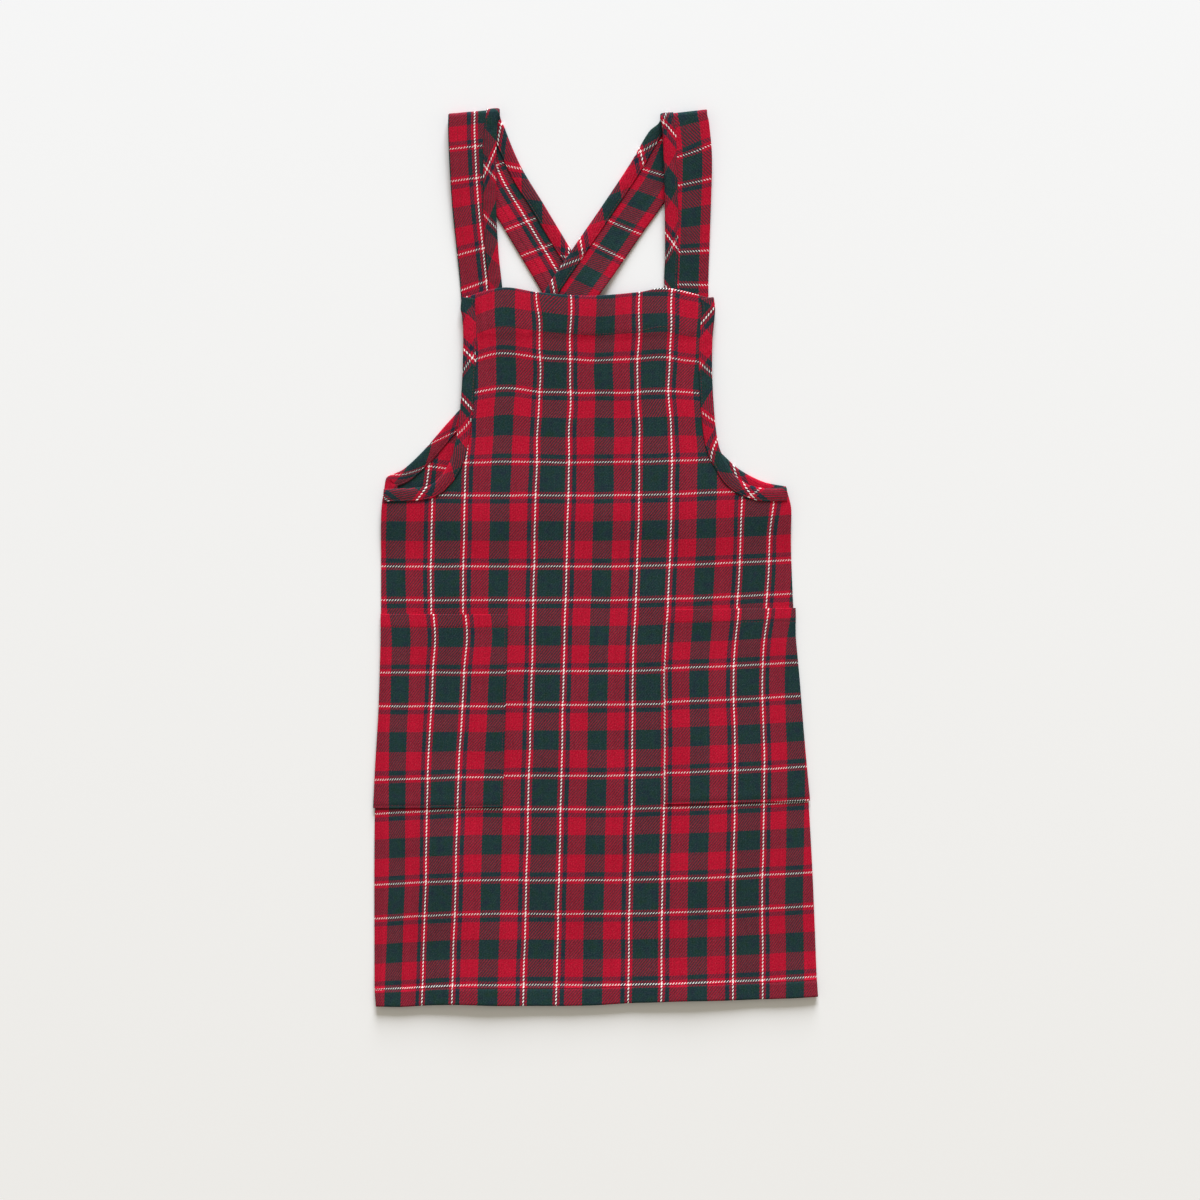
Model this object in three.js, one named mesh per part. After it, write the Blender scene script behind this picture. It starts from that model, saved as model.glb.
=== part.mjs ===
// Cross-back kitchen apron in checked brushed cotton, lying flat with its front up.
// Millimetres. +X is to the right as it lies, +Y towards the shoulder folds, +Z up from the table.
import * as THREE from "three";

// Driving dimensions
const CLOTH = 1.0; // one layer of the cotton twill
const CLEARANCE = 0.3; // kept between pieces that lie on each other
const BINDING_WIDTH = 13; // finished bias binding, the same on both faces of an edge
const BINDING_WALL = 1.0;
const BINDING_NOSE = 0.8; // rounding of the binding's folded edge
const HEM_RAMP = 2; // length over which a turned hem thins to one layer
const POCKET_HEM = 14;
const STRAP_HEM = 10; // turned hem on a strap's outer edge and on the centre-back edge
const SHOULDER_RADIUS = 3.5; // soft fold of a strap, to the middle of its cloth
const SEAM_GAP = 0.5; // between a strap's end and the back panel it is sewn to
const POCKET_OVERHANG = 2; // how far a pocket's lower outer corner stands past the side seam
const OVERHANG_POWER = 4; // how closely that overhang keeps to the corner
const TOP_WAVE_ROWS = 3; // rows of the bib over which the wave of its top edge comes in

// Mesh density
const FRONT_COLUMNS = 20;
const BACK_COLUMNS = 7;
const POCKET_COLUMNS = 6;
const POCKET_ROWS = 7;
const FOLD_STEPS = 6; // steps round a strap's shoulder fold

// Sizes worked out from those
const HALF_CLOTH = CLOTH / 2;
const BINDING_HALF = HALF_CLOTH + CLEARANCE + BINDING_WALL;
const EDGE_INSET = BINDING_WALL + 2 * CLEARANCE; // from a finished bound edge to the cloth inside it
const POCKET_LIFT = CLOTH + 1.5 * CLEARANCE; // from the middle of the front to the middle of a pocket

// Colours of the worn look: body cloth and the slightly darker bias strips
const CLOTH_COLOUR = 0x8a2233;
const BINDING_COLOUR = 0x7a2b3a;
const CLOTH_ROUGHNESS = 0.95;

// Front panel, hem to armhole corner: side edges, middle of each row, cloth layers, mesh steps to the next
const SKIRT_ROWS = [
  { leftX: -218.5, leftY: -447, rightX: 222.5, rightY: -439, midY: -445, layers: 2, steps: 1 },
  { leftX: -219.3, leftY: -430, rightX: 221.6, rightY: -422, midY: -428, layers: 2, steps: 1 },
  { leftX: -219.4, leftY: -428, rightX: 221.5, rightY: -420, midY: -426, layers: 1, steps: 4 },
  { leftX: -220.5, leftY: -322, rightX: 216.5, rightY: -320, midY: -322, layers: 1, steps: 4 },
  { leftX: -220, leftY: -226, rightX: 211.5, rightY: -224, midY: -226, layers: 1, steps: 4 },
  { leftX: -216, leftY: -130, rightX: 204.5, rightY: -129, midY: -130, layers: 1, steps: 4 },
  { leftX: -213.5, leftY: -40, rightX: 197, rightY: -40, midY: -40, layers: 1, steps: 3 },
  { leftX: -213.5, leftY: 30, rightX: 195.3, rightY: 30, midY: 30, layers: 1, steps: 2 },
];

// Front panel, armhole corner to the bib's top: finished edges of the bound sides
const BIB_ROWS = [
  { leftX: -210.5, leftY: 69, rightX: 191, rightY: 70, midY: 68, layers: 1, steps: 2 },
  { leftX: -190, leftY: 69.5, rightX: 172, rightY: 69.5, midY: 72, layers: 1, steps: 2 },
  { leftX: -168, leftY: 71.5, rightX: 155, rightY: 72.5, midY: 81, layers: 1, steps: 2 },
  { leftX: -150, leftY: 87, rightX: 140, rightY: 82, midY: 98, layers: 1, steps: 2 },
  { leftX: -143, leftY: 101, rightX: 131, rightY: 96, midY: 112, layers: 1, steps: 2 },
  { leftX: -139, leftY: 118, rightX: 123.5, rightY: 112, midY: 128, layers: 1, steps: 2 },
  { leftX: -134.5, leftY: 150, rightX: 119, rightY: 145, midY: 156, layers: 1, steps: 2 },
  { leftX: -132, leftY: 190, rightX: 116.8, rightY: 190, midY: 191, layers: 1, steps: 2 },
  { leftX: -131.5, leftY: 220, rightX: 117, rightY: 219, midY: 220, layers: 1, steps: 1 },
  { leftX: -131.5, leftY: 222, rightX: 117, rightY: 221, midY: 222, layers: 2, steps: 3 },
  { leftX: -133, leftY: 260, rightX: 118, rightY: 260, midY: 260, layers: 2, steps: 0 },
];

// Wave of the bib's top edge: share of the width from the left, and lift above the straight line
const BIB_TOP = [
  { at: 0, lift: 0 },
  { at: 0.17, lift: 9.5 },
  { at: 0.31, lift: 4 },
  { at: 0.5, lift: 1 },
  { at: 0.71, lift: 5 },
  { at: 0.8, lift: 9 },
  { at: 1, lift: -1 },
];

// Height of the front panel's middle layer along its length, at the side seams and in the middle
const FRONT_LEVELS = [
  { y: -450, side: 2.8, middle: 2.8 },
  { y: -425, side: 2.8, middle: 2.8 },
  { y: -390, side: 1.9, middle: 2.9 },
  { y: -10, side: 1.9, middle: 3.1 },
  { y: 52, side: 5.8, middle: 5.8 },
  { y: 150, side: 5.8, middle: 5.8 },
  { y: 200, side: 5.2, middle: 5.2 },
  { y: 275, side: 5.0, middle: 5.0 },
];
const SIDE_ROLL = 0.08; // share of the width over which the front rolls down to a side seam

// Soft swells of the front panel: place, turn of the long axis from +Y, half length, half width, height
const SWELLS = [
  { x: -24, y: 250, turn: 0, long: 52, wide: 52, high: 4.9 }, // over the crossing straps
  { x: 0, y: -150, turn: 8, long: 150, wide: 38, high: 2.0 },
  { x: -140, y: -330, turn: -14, long: 80, wide: 26, high: 2.2 },
  { x: 118, y: -300, turn: 12, long: 90, wide: 30, high: 2.4 },
  { x: -75, y: 20, turn: -10, long: 60, wide: 34, high: 1.6 },
  { x: 95, y: 30, turn: 14, long: 60, wide: 30, high: 1.6 },
];

// Back panels, hem to armhole corner: side seam and centre-back edge
const BACK_SKIRT_ROWS = {
  left: [
    { sideX: -217.5, sideY: -446, backX: -22, backY: -444, layers: 2, steps: 1 },
    { sideX: -218.3, sideY: -429, backX: -22, backY: -427, layers: 2, steps: 1 },
    { sideX: -218.4, sideY: -427, backX: -22, backY: -425, layers: 1, steps: 3 },
    { sideX: -219.5, sideY: -322, backX: -24, backY: -322, layers: 1, steps: 2 },
    { sideX: -219, sideY: -226, backX: -26, backY: -226, layers: 1, steps: 2 },
    { sideX: -215, sideY: -130, backX: -28, backY: -130, layers: 1, steps: 2 },
    { sideX: -212.5, sideY: -40, backX: -33, backY: -40, layers: 1, steps: 2 },
    { sideX: -212.5, sideY: 30, backX: -41, backY: 30, layers: 1, steps: 2 },
  ],
  right: [
    { sideX: 221.5, sideY: -438, backX: 10, backY: -441, layers: 2, steps: 1 },
    { sideX: 220.6, sideY: -421, backX: 10, backY: -424, layers: 2, steps: 1 },
    { sideX: 220.5, sideY: -419, backX: 10, backY: -422, layers: 1, steps: 3 },
    { sideX: 215.5, sideY: -320, backX: 11, backY: -321, layers: 1, steps: 2 },
    { sideX: 210.5, sideY: -224, backX: 13, backY: -225, layers: 1, steps: 2 },
    { sideX: 203.5, sideY: -129, backX: 15, backY: -129, layers: 1, steps: 2 },
    { sideX: 196, sideY: -40, backX: 19, backY: -40, layers: 1, steps: 2 },
    { sideX: 194.3, sideY: 30, backX: 25, backY: 28, layers: 1, steps: 2 },
  ],
};

// Back panels, armhole corner to the strap seam: finished bound edge and centre-back edge
const BACK_ARMHOLE_ROWS = {
  left: [
    { sideX: -210.5, sideY: 73, backX: -48, backY: 66, layers: 1, steps: 1 },
    { sideX: -206, sideY: 82, backX: -54, backY: 80, layers: 1, steps: 2 },
    { sideX: -192, sideY: 89, backX: -62, backY: 94, layers: 1, steps: 2 },
    { sideX: -173.6, sideY: 105, backX: -72, backY: 109, layers: 1, steps: 2 },
    { sideX: -150.4, sideY: 131.5, backX: -81, backY: 122, layers: 1, steps: 2 },
    { sideX: -131, sideY: 153, backX: -88, backY: 131, layers: 1, steps: 0 },
  ],
  right: [
    { sideX: 191, sideY: 71.5, backX: 30, backY: 58, layers: 1, steps: 1 },
    { sideX: 172, sideY: 75, backX: 33, backY: 72, layers: 1, steps: 2 },
    { sideX: 145, sideY: 88, backX: 37, backY: 89, layers: 1, steps: 2 },
    { sideX: 124, sideY: 107, backX: 41, backY: 103, layers: 1, steps: 2 },
    { sideX: 102, sideY: 126.5, backX: 43, backY: 112, layers: 1, steps: 2 },
    { sideX: 81, sideY: 144, backX: 45, backY: 118, layers: 1, steps: 0 },
  ],
};
const ARMHOLE_RISE = 30; // width over which a back panel rises to the level of its binding

// Patch pockets: corners of the inner edge, and heights of the outer edge on the side seam
const POCKETS = [
  {
    name: "left", topInnerX: -87, topInnerY: -56.5, bottomInnerX: -92, bottomInnerY: -249,
    topY: -56, bottomY: -250.5,
  },
  {
    name: "right", topInnerX: 70, topInnerY: -51.5, bottomInnerX: 69, bottomInnerY: -246,
    topY: -50, bottomY: -242.5,
  },
];

// Straps, from behind the bib to the back panel: outer and neck edges with the heights of the cloth.
// The row marked fold is the shoulder, where the strap turns over and runs back underneath.
const STRAP_ROWS = {
  left: [
    { outerX: -132, outerY: 233, outerZ: 1.7, neckX: -90, neckY: 238, neckZ: 1.9, steps: 2 },
    { outerX: -134.5, outerY: 273, outerZ: 1.9, neckX: -93, neckY: 274, neckZ: 2.3, steps: 2 },
    { outerX: -138, outerY: 308, outerZ: 3.0, neckX: -96.5, neckY: 308, neckZ: 3.6, steps: 2 },
    { outerX: -142.5, outerY: 353, outerZ: 5.0, neckX: -98.5, neckY: 353, neckZ: 5.6, steps: 2 },
    { outerX: -145.2, outerY: 398, outerZ: 7.2, neckX: -98.5, neckY: 398, neckZ: 7.6, steps: 2 },
    { outerX: -146.2, outerY: 430, outerZ: 8.4, neckX: -97, neckY: 434, neckZ: 8.6, steps: 1 },
    { outerX: -146, outerY: 444.5, outerZ: 1.6, neckX: -95, neckY: 448.5, neckZ: 1.9, fold: true, steps: 1 },
    { outerX: -133, outerY: 418, outerZ: 0.8, neckX: -90, neckY: 429, neckZ: 2.3, steps: 2 },
    { outerX: -114, outerY: 369, outerZ: 0.6, neckX: -75, neckY: 393, neckZ: 2.3, steps: 2 },
    { outerX: -90.5, outerY: 329, outerZ: 0.6, neckX: -51, neckY: 353, neckZ: 2.3, steps: 2 },
    { outerX: -66.5, outerY: 289, outerZ: 0.6, neckX: -27, neckY: 313, neckZ: 2.3, steps: 2 },
    { outerX: -30.5, outerY: 229, outerZ: 0.6, neckX: 9, neckY: 253, neckZ: 2.3, steps: 2 },
    { outerX: 6, outerY: 170, outerZ: 0.6, neckX: 45, neckY: 195, neckZ: 2.3, steps: 2 },
    { outerX: 45, outerY: 118, outerZ: 1.8, neckX: 81, neckY: 144, neckZ: 1.8, steps: 0 },
  ],
  right: [
    { outerX: 113, outerY: 233, outerZ: 1.7, neckX: 69.5, neckY: 236, neckZ: 1.9, steps: 2 },
    { outerX: 113, outerY: 273, outerZ: 1.9, neckX: 69, neckY: 274, neckZ: 2.3, steps: 2 },
    { outerX: 114, outerY: 308, outerZ: 3.0, neckX: 70, neckY: 308, neckZ: 3.6, steps: 2 },
    { outerX: 115.5, outerY: 353, outerZ: 5.0, neckX: 69.5, neckY: 353, neckZ: 5.6, steps: 2 },
    { outerX: 116.5, outerY: 395, outerZ: 7.2, neckX: 68.5, neckY: 396, neckZ: 7.6, steps: 2 },
    { outerX: 113.5, outerY: 434, outerZ: 8.4, neckX: 67, neckY: 430, neckZ: 8.6, steps: 1 },
    { outerX: 111.5, outerY: 448.5, outerZ: 1.6, neckX: 65, neckY: 443, neckZ: 1.9, fold: true, steps: 1 },
    { outerX: 97, outerY: 412, outerZ: 0.8, neckX: 54, neckY: 426, neckZ: 2.3, steps: 2 },
    { outerX: 77, outerY: 368, outerZ: 0.8, neckX: 37, neckY: 397, neckZ: 2.3, steps: 2 },
    { outerX: 46, outerY: 323, outerZ: 2.6, neckX: 8, neckY: 353, neckZ: 3.6, steps: 2 },
    { outerX: 16.5, outerY: 280, outerZ: 6.0, neckX: -22, neckY: 309, neckZ: 6.3, steps: 2 },
    { outerX: -20, outerY: 228, outerZ: 5.8, neckX: -59, neckY: 254, neckZ: 5.8, steps: 2 },
    { outerX: -54, outerY: 179, outerZ: 1.4, neckX: -96, neckY: 200, neckZ: 2.3, steps: 2 },
    { outerX: -88, outerY: 131, outerZ: 1.8, neckX: -131, neckY: 153, neckZ: 1.8, steps: 0 },
  ],
};

// Smooth step from 0 at low to 1 at high
function ease(low, high, value) {
  return THREE.MathUtils.smoothstep(value, low, high);
}

// Value of one column at a key, by a cubic that never swings past the rows it joins
function columnAt(keys, values, key) {
  const last = keys.length - 1;
  let i = 0;
  while (i < last - 1 && key > keys[i + 1]) i += 1;
  const slope = (k) => (values[k + 1] - values[k]) / (keys[k + 1] - keys[k]);
  const tangent = (k) => {
    if (k === 0) return slope(0);
    if (k === last) return slope(last - 1);
    const before = slope(k - 1);
    const after = slope(k);
    return before * after <= 0 ? 0 : (2 * before * after) / (before + after);
  };
  const span = keys[i + 1] - keys[i];
  const u = THREE.MathUtils.clamp((key - keys[i]) / span, 0, 1);
  const rise = 3 * u * u - 2 * u * u * u;
  const leave = u * (1 - u) * (1 - u) * span * tangent(i);
  const arrive = u * u * (1 - u) * span * tangent(i + 1);
  return values[i] + (values[i + 1] - values[i]) * rise + leave - arrive;
}

// All number columns of a table at one key, which is a column's name or the row's place in the table
function tableAt(rows, keyName, key) {
  const keys = rows.map((row, place) => (keyName ? row[keyName] : place));
  const at = {};
  for (const name of Object.keys(rows[0])) {
    at[name] = columnAt(keys, rows.map((row) => row[name]), key);
  }
  return at;
}

// Places along a table where the mesh has its rows, as the steps column asks
function meshPlaces(rows) {
  const places = [];
  rows.forEach((row, place) => {
    for (let step = 0; step < row.steps; step += 1) places.push(place + step / row.steps);
  });
  return places;
}

// Closed mesh from corners and triangles, turned so that its faces point out
function closedBody(corners, triangles) {
  let volume = 0;
  for (const [a, b, c] of triangles) {
    volume += corners[a].dot(new THREE.Vector3().crossVectors(corners[b], corners[c]));
  }
  const index = triangles.flatMap(([a, b, c]) => (volume > 0 ? [a, b, c] : [a, c, b]));
  const geometry = new THREE.BufferGeometry();
  geometry.setAttribute("position", new THREE.Float32BufferAttribute(corners.flatMap((p) => p.toArray()), 3));
  geometry.setIndex(index);
  geometry.computeVertexNormals();
  return geometry;
}

// Two triangles for each cell between two rings or rows of corners
function quad(list, a, b, c, d) {
  list.push([a, b, c], [a, c, d]);
}

// Closed wall of cloth from a grid of nodes, each with a point, an up direction and depths above and below
function clothWall(grid) {
  const rowCount = grid.length;
  const columnCount = grid[0].length;
  const corners = [];
  for (const side of ["above", "below"]) {
    const sign = side === "above" ? 1 : -1;
    for (const row of grid) {
      for (const node of row) {
        corners.push(node.point.clone().addScaledVector(node.up, sign * node[side]));
      }
    }
  }
  const top = (r, c) => r * columnCount + c;
  const under = (r, c) => (rowCount + r) * columnCount + c;
  const triangles = [];
  for (let r = 0; r < rowCount - 1; r += 1) {
    for (let c = 0; c < columnCount - 1; c += 1) {
      quad(triangles, top(r, c), top(r, c + 1), top(r + 1, c + 1), top(r + 1, c));
      quad(triangles, under(r, c), under(r + 1, c), under(r + 1, c + 1), under(r, c + 1));
    }
    const end = columnCount - 1;
    quad(triangles, top(r, 0), top(r + 1, 0), under(r + 1, 0), under(r, 0));
    quad(triangles, top(r, end), under(r, end), under(r + 1, end), top(r + 1, end));
  }
  for (let c = 0; c < columnCount - 1; c += 1) {
    const end = rowCount - 1;
    quad(triangles, top(0, c), under(0, c), under(0, c + 1), top(0, c + 1));
    quad(triangles, top(end, c), top(end, c + 1), under(end, c + 1), under(end, c));
  }
  return closedBody(corners, triangles);
}

// Node of a cloth grid that lies flat: extra layers of a turned hem go on top
const UP = new THREE.Vector3(0, 0, 1);
function flatNode(x, y, z, layers) {
  const above = HALF_CLOTH + (layers - 1) * CLOTH;
  return { point: new THREE.Vector3(x, y, z), up: UP, above, below: HALF_CLOTH };
}

// Folded binding swept along an edge: frames hold the edge point, the way into the cloth and the way up
function foldedBinding(frames) {
  const slot = HALF_CLOTH + CLEARANCE;
  const section = [
    [BINDING_WIDTH, BINDING_HALF],
    [BINDING_NOSE, BINDING_HALF],
    [0, BINDING_HALF - BINDING_NOSE],
    [0, BINDING_NOSE - BINDING_HALF],
    [BINDING_NOSE, -BINDING_HALF],
    [BINDING_WIDTH, -BINDING_HALF],
    [BINDING_WIDTH, -slot],
    [BINDING_WALL, -slot],
    [BINDING_WALL, slot],
    [BINDING_WIDTH, slot],
  ];
  const count = section.length;
  const corners = frames.flatMap(({ point, into, up }) =>
    section.map(([depth, height]) => point.clone().addScaledVector(into, depth).addScaledVector(up, height))
  );
  const triangles = [];
  for (let f = 0; f < frames.length - 1; f += 1) {
    for (let k = 0; k < count; k += 1) {
      const next = (k + 1) % count;
      quad(triangles, f * count + k, f * count + next, (f + 1) * count + next, (f + 1) * count + k);
    }
  }
  const outline = section.map(([depth, height]) => new THREE.Vector2(depth, height));
  const lastRing = (frames.length - 1) * count;
  for (const [a, b, c] of THREE.ShapeUtils.triangulateShape(outline, [])) {
    triangles.push([a, c, b], [lastRing + a, lastRing + b, lastRing + c]);
  }
  return closedBody(corners, triangles);
}

// Tangents of a row of points, by the neighbours on each side
function tangents(points) {
  return points.map((point, i) => {
    const before = points[Math.max(i - 1, 0)];
    const after = points[Math.min(i + 1, points.length - 1)];
    return after.clone().sub(before).normalize();
  });
}

// Height of the front panel's middle layer at a place, with its swells
function frontHeight(x, y) {
  const level = tableAt(FRONT_LEVELS, "y", y);
  const skirt = tableAt(SKIRT_ROWS, "leftY", y);
  const share = (x - skirt.leftX) / (skirt.rightX - skirt.leftX);
  const roll = ease(0, SIDE_ROLL, Math.min(share, 1 - share));
  let height = level.side + (level.middle - level.side) * roll;
  for (const swell of SWELLS) {
    const turn = THREE.MathUtils.degToRad(swell.turn);
    const along = Math.sin(turn) * (x - swell.x) + Math.cos(turn) * (y - swell.y);
    const across = Math.cos(turn) * (x - swell.x) - Math.sin(turn) * (y - swell.y);
    height += swell.high * Math.exp(-0.5 * ((along / swell.long) ** 2 + (across / swell.wide) ** 2));
  }
  return height;
}

// Point of the front panel's middle layer above a place on the table
function onFront(place) {
  return new THREE.Vector3(place.x, place.y, frontHeight(place.x, place.y));
}

// Bound edges of a table at its mesh rows: finished edge and the cloth edge inside the binding.
// handed is 1 where the cloth lies to the right of the way along the table, and -1 to the left.
function boundEdge(rows, nameX, nameY, handed) {
  const places = meshPlaces(rows).concat(rows.length - 1);
  const finished = places.map((place) => {
    const at = tableAt(rows, null, place);
    return new THREE.Vector3(at[nameX], at[nameY], 0);
  });
  const ways = tangents(finished);
  const inward = ways.map((way) => new THREE.Vector3(way.y, -way.x, 0).multiplyScalar(handed));
  const cloth = finished.map((point, i) => point.clone().addScaledVector(inward[i], EDGE_INSET));
  return { places, finished, inward, cloth };
}

// Front panel: skirt rows run straight, bib rows bend round the armholes
function frontEdges() {
  return {
    left: boundEdge(BIB_ROWS, "leftX", "leftY", 1),
    right: boundEdge(BIB_ROWS, "rightX", "rightY", -1),
  };
}

function frontPanel() {
  const edges = frontEdges();
  const corner = { leftX: edges.left.cloth[0].x, leftY: edges.left.cloth[0].y };
  Object.assign(corner, { rightX: edges.right.cloth[0].x, rightY: edges.right.cloth[0].y });
  const skirtRows = SKIRT_ROWS.concat({ ...corner, midY: BIB_ROWS[0].midY, layers: 1, steps: 0 });
  const rows = [];
  for (const place of meshPlaces(skirtRows)) {
    rows.push({ ...tableAt(skirtRows, null, place), topShare: 0, bound: false });
  }
  edges.left.places.forEach((place, i) => {
    const at = tableAt(BIB_ROWS, null, place);
    const left = edges.left.cloth[i];
    const right = edges.right.cloth[i];
    const topShare = ease(BIB_ROWS.length - 1 - TOP_WAVE_ROWS, BIB_ROWS.length - 1, place);
    rows.push({ leftX: left.x, leftY: left.y, rightX: right.x, rightY: right.y, midY: at.midY,
      layers: at.layers, topShare, bound: true });
  });
  const boundColumns = 1; // columns at each side that the binding covers
  return clothWall(rows.map((row) => {
    const nodes = [];
    for (let c = 0; c <= FRONT_COLUMNS; c += 1) {
      const share = c / FRONT_COLUMNS;
      const sideY = row.leftY + (row.rightY - row.leftY) * share;
      const bend = (2 * share - 1) ** 2;
      const x = row.leftX + (row.rightX - row.leftX) * share;
      const wave = row.topShare * tableAt(BIB_TOP, "at", share).lift;
      const y = row.midY + (sideY - row.midY) * bend + wave;
      const covered = row.bound && (c <= boundColumns || c >= FRONT_COLUMNS - boundColumns);
      nodes.push(flatNode(x, y, frontHeight(x, y), covered ? 1 : row.layers));
    }
    return nodes;
  }));
}

// Binding of the bib's side and front armhole, from the side seam up to the bib's top
function armholeBinding(side) {
  const edge = frontEdges()[side];
  const ways = tangents(edge.finished);
  const handed = side === "left" ? 1 : -1;
  return foldedBinding(edge.finished.map((flat, i) => {
    const point = onFront(flat);
    const inner = onFront(flat.clone().addScaledVector(edge.inward[i], BINDING_WIDTH));
    const into = inner.sub(point).normalize();
    const up = new THREE.Vector3().crossVectors(into, ways[i]).normalize().multiplyScalar(handed);
    return { point, into, up };
  }));
}

// Back panel: flat on the table, risen at its bound armhole edge
function backEdge(side) {
  return boundEdge(BACK_ARMHOLE_ROWS[side], "sideX", "sideY", side === "left" ? 1 : -1);
}

function distanceToEdge(edge, x, y) {
  const place = new THREE.Vector3(x, y, 0);
  const nearest = new THREE.Vector3();
  let distance = Infinity;
  for (let i = 0; i < edge.length - 1; i += 1) {
    new THREE.Line3(edge[i], edge[i + 1]).closestPointToPoint(place, true, nearest);
    distance = Math.min(distance, nearest.distanceTo(place));
  }
  return distance;
}

function backPanel(side) {
  const edge = backEdge(side);
  const armholeRows = BACK_ARMHOLE_ROWS[side];
  const first = { sideX: edge.cloth[0].x, sideY: edge.cloth[0].y };
  const skirtRows = BACK_SKIRT_ROWS[side].concat({ ...armholeRows[0], ...first, steps: 0 });
  const rows = [];
  for (const place of meshPlaces(skirtRows)) rows.push(tableAt(skirtRows, null, place));
  edge.places.forEach((place, i) => {
    rows.push({ ...tableAt(armholeRows, null, place), sideX: edge.cloth[i].x, sideY: edge.cloth[i].y });
  });
  return clothWall(rows.map((row) => {
    const width = Math.hypot(row.backX - row.sideX, row.backY - row.sideY);
    const hem = STRAP_HEM / width;
    const ramp = (STRAP_HEM + HEM_RAMP) / width;
    const shares = [];
    for (let c = 0; c <= BACK_COLUMNS; c += 1) shares.push((1 - ramp) * (c / BACK_COLUMNS));
    shares.push(1 - hem, 1);
    return shares.map((share, c) => {
      const x = row.sideX + (row.backX - row.sideX) * share;
      const y = row.sideY + (row.backY - row.sideY) * share;
      const fromEdge = distanceToEdge(edge.finished, x, y) - BINDING_WIDTH - CLEARANCE;
      const rise = (BINDING_HALF - HALF_CLOTH) * (1 - ease(0, ARMHOLE_RISE, fromEdge));
      return flatNode(x, y, HALF_CLOTH + rise, c > BACK_COLUMNS ? 2 : row.layers);
    });
  }));
}

// Patch pocket on the front panel, with a turned hem at its mouth
function pocket(shape) {
  const isLeft = shape.name === "left";
  const drops = [0, POCKET_HEM, POCKET_HEM + HEM_RAMP];
  const depth = shape.topY - shape.bottomY;
  for (let r = 1; r <= POCKET_ROWS; r += 1) {
    drops.push(POCKET_HEM + HEM_RAMP + (depth - POCKET_HEM - HEM_RAMP) * (r / POCKET_ROWS));
  }
  return clothWall(drops.map((drop) => {
    const share = drop / depth;
    const outerY = shape.topY - drop;
    const seam = tableAt(SKIRT_ROWS, "leftY", outerY);
    const overhang = POCKET_OVERHANG * share ** OVERHANG_POWER;
    const outerX = isLeft ? seam.leftX - overhang : seam.rightX + overhang;
    const innerX = shape.topInnerX + (shape.bottomInnerX - shape.topInnerX) * share;
    const innerY = shape.topInnerY + (shape.bottomInnerY - shape.topInnerY) * share;
    const nodes = [];
    for (let c = 0; c <= POCKET_COLUMNS; c += 1) {
      const across = c / POCKET_COLUMNS;
      const x = outerX + (innerX - outerX) * across;
      const y = outerY + (innerY - outerY) * across;
      nodes.push(flatNode(x, y, frontHeight(x, y) + POCKET_LIFT, drop <= POCKET_HEM ? 2 : 1));
    }
    return nodes;
  }));
}

// Sections of a strap: finished outer and neck edges along its way, with the shoulder fold worked out
function strapSections(side) {
  const rows = STRAP_ROWS[side];
  const shoulder = rows.findIndex((row) => row.fold);
  const plain = rows.map(({ fold, ...row }) => row);
  const front = plain.slice(0, shoulder);
  const back = plain.slice(shoulder + 1);
  const crest = plain[shoulder];
  const section = (at) => ({
    outer: new THREE.Vector3(at.outerX, at.outerY, at.outerZ),
    neck: new THREE.Vector3(at.neckX, at.neckY, at.neckZ),
  });
  const sections = meshPlaces(front).map((place) => section(tableAt(front, null, place)));
  for (let step = 0; step <= FOLD_STEPS; step += 1) {
    const angle = (Math.PI * step) / FOLD_STEPS;
    const setBack = SHOULDER_RADIUS * (1 - Math.sin(angle));
    const lift = SHOULDER_RADIUS * (1 + Math.cos(angle));
    const at = { ...crest, outerY: crest.outerY - setBack, neckY: crest.neckY - setBack };
    sections.push(section({ ...at, outerZ: crest.outerZ + lift, neckZ: crest.neckZ + lift }));
  }
  for (const place of meshPlaces(back)) sections.push(section(tableAt(back, null, place)));
  sections.push(section(back[back.length - 1]));
  return sections;
}

// Frames of a strap's neck edge: the way into the cloth, and the way up of its outer face
function strapFrames(side) {
  const sections = strapSections(side);
  const handed = side === "left" ? 1 : -1;
  const ways = tangents(sections.map(({ neck }) => neck));
  return sections.map(({ outer, neck }, i) => {
    const into = outer.clone().sub(neck).normalize();
    const up = new THREE.Vector3().crossVectors(ways[i], into).normalize().multiplyScalar(handed);
    return { point: neck, outer, into, up };
  });
}

// Strap: one layer of cloth with a turned hem along its outer edge, on its inner face
function strap(side) {
  const frames = strapFrames(side);
  const lastFrame = frames[frames.length - 1];
  const beforeLast = frames[frames.length - 2];
  const pullBack = lastFrame.point.clone().sub(beforeLast.point).setLength(SEAM_GAP);
  return clothWall(frames.map(({ point, outer, into, up }) => {
    const width = point.distanceTo(outer);
    const depths = [EDGE_INSET, width - STRAP_HEM - HEM_RAMP, width - STRAP_HEM, width];
    return depths.map((depth) => {
      const place = point.clone().addScaledVector(into, depth);
      if (point === lastFrame.point) place.sub(pullBack);
      const turned = depth >= width - STRAP_HEM;
      return { point: place, up, above: HALF_CLOTH, below: turned ? HALF_CLOTH + CLOTH : HALF_CLOTH };
    });
  }));
}

// Binding of a strap's neck edge, running on round the armhole of the back panel it is sewn to
function neckBinding(side) {
  const frames = strapFrames(side);
  const edge = backEdge(side === "left" ? "right" : "left");
  const faceDown = new THREE.Vector3(0, 0, -1);
  for (let i = edge.finished.length - 2; i >= 0; i -= 1) {
    const point = edge.finished[i].clone().setZ(BINDING_HALF);
    frames.push({ point, into: edge.inward[i], up: faceDown });
  }
  return foldedBinding(frames);
}

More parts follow.
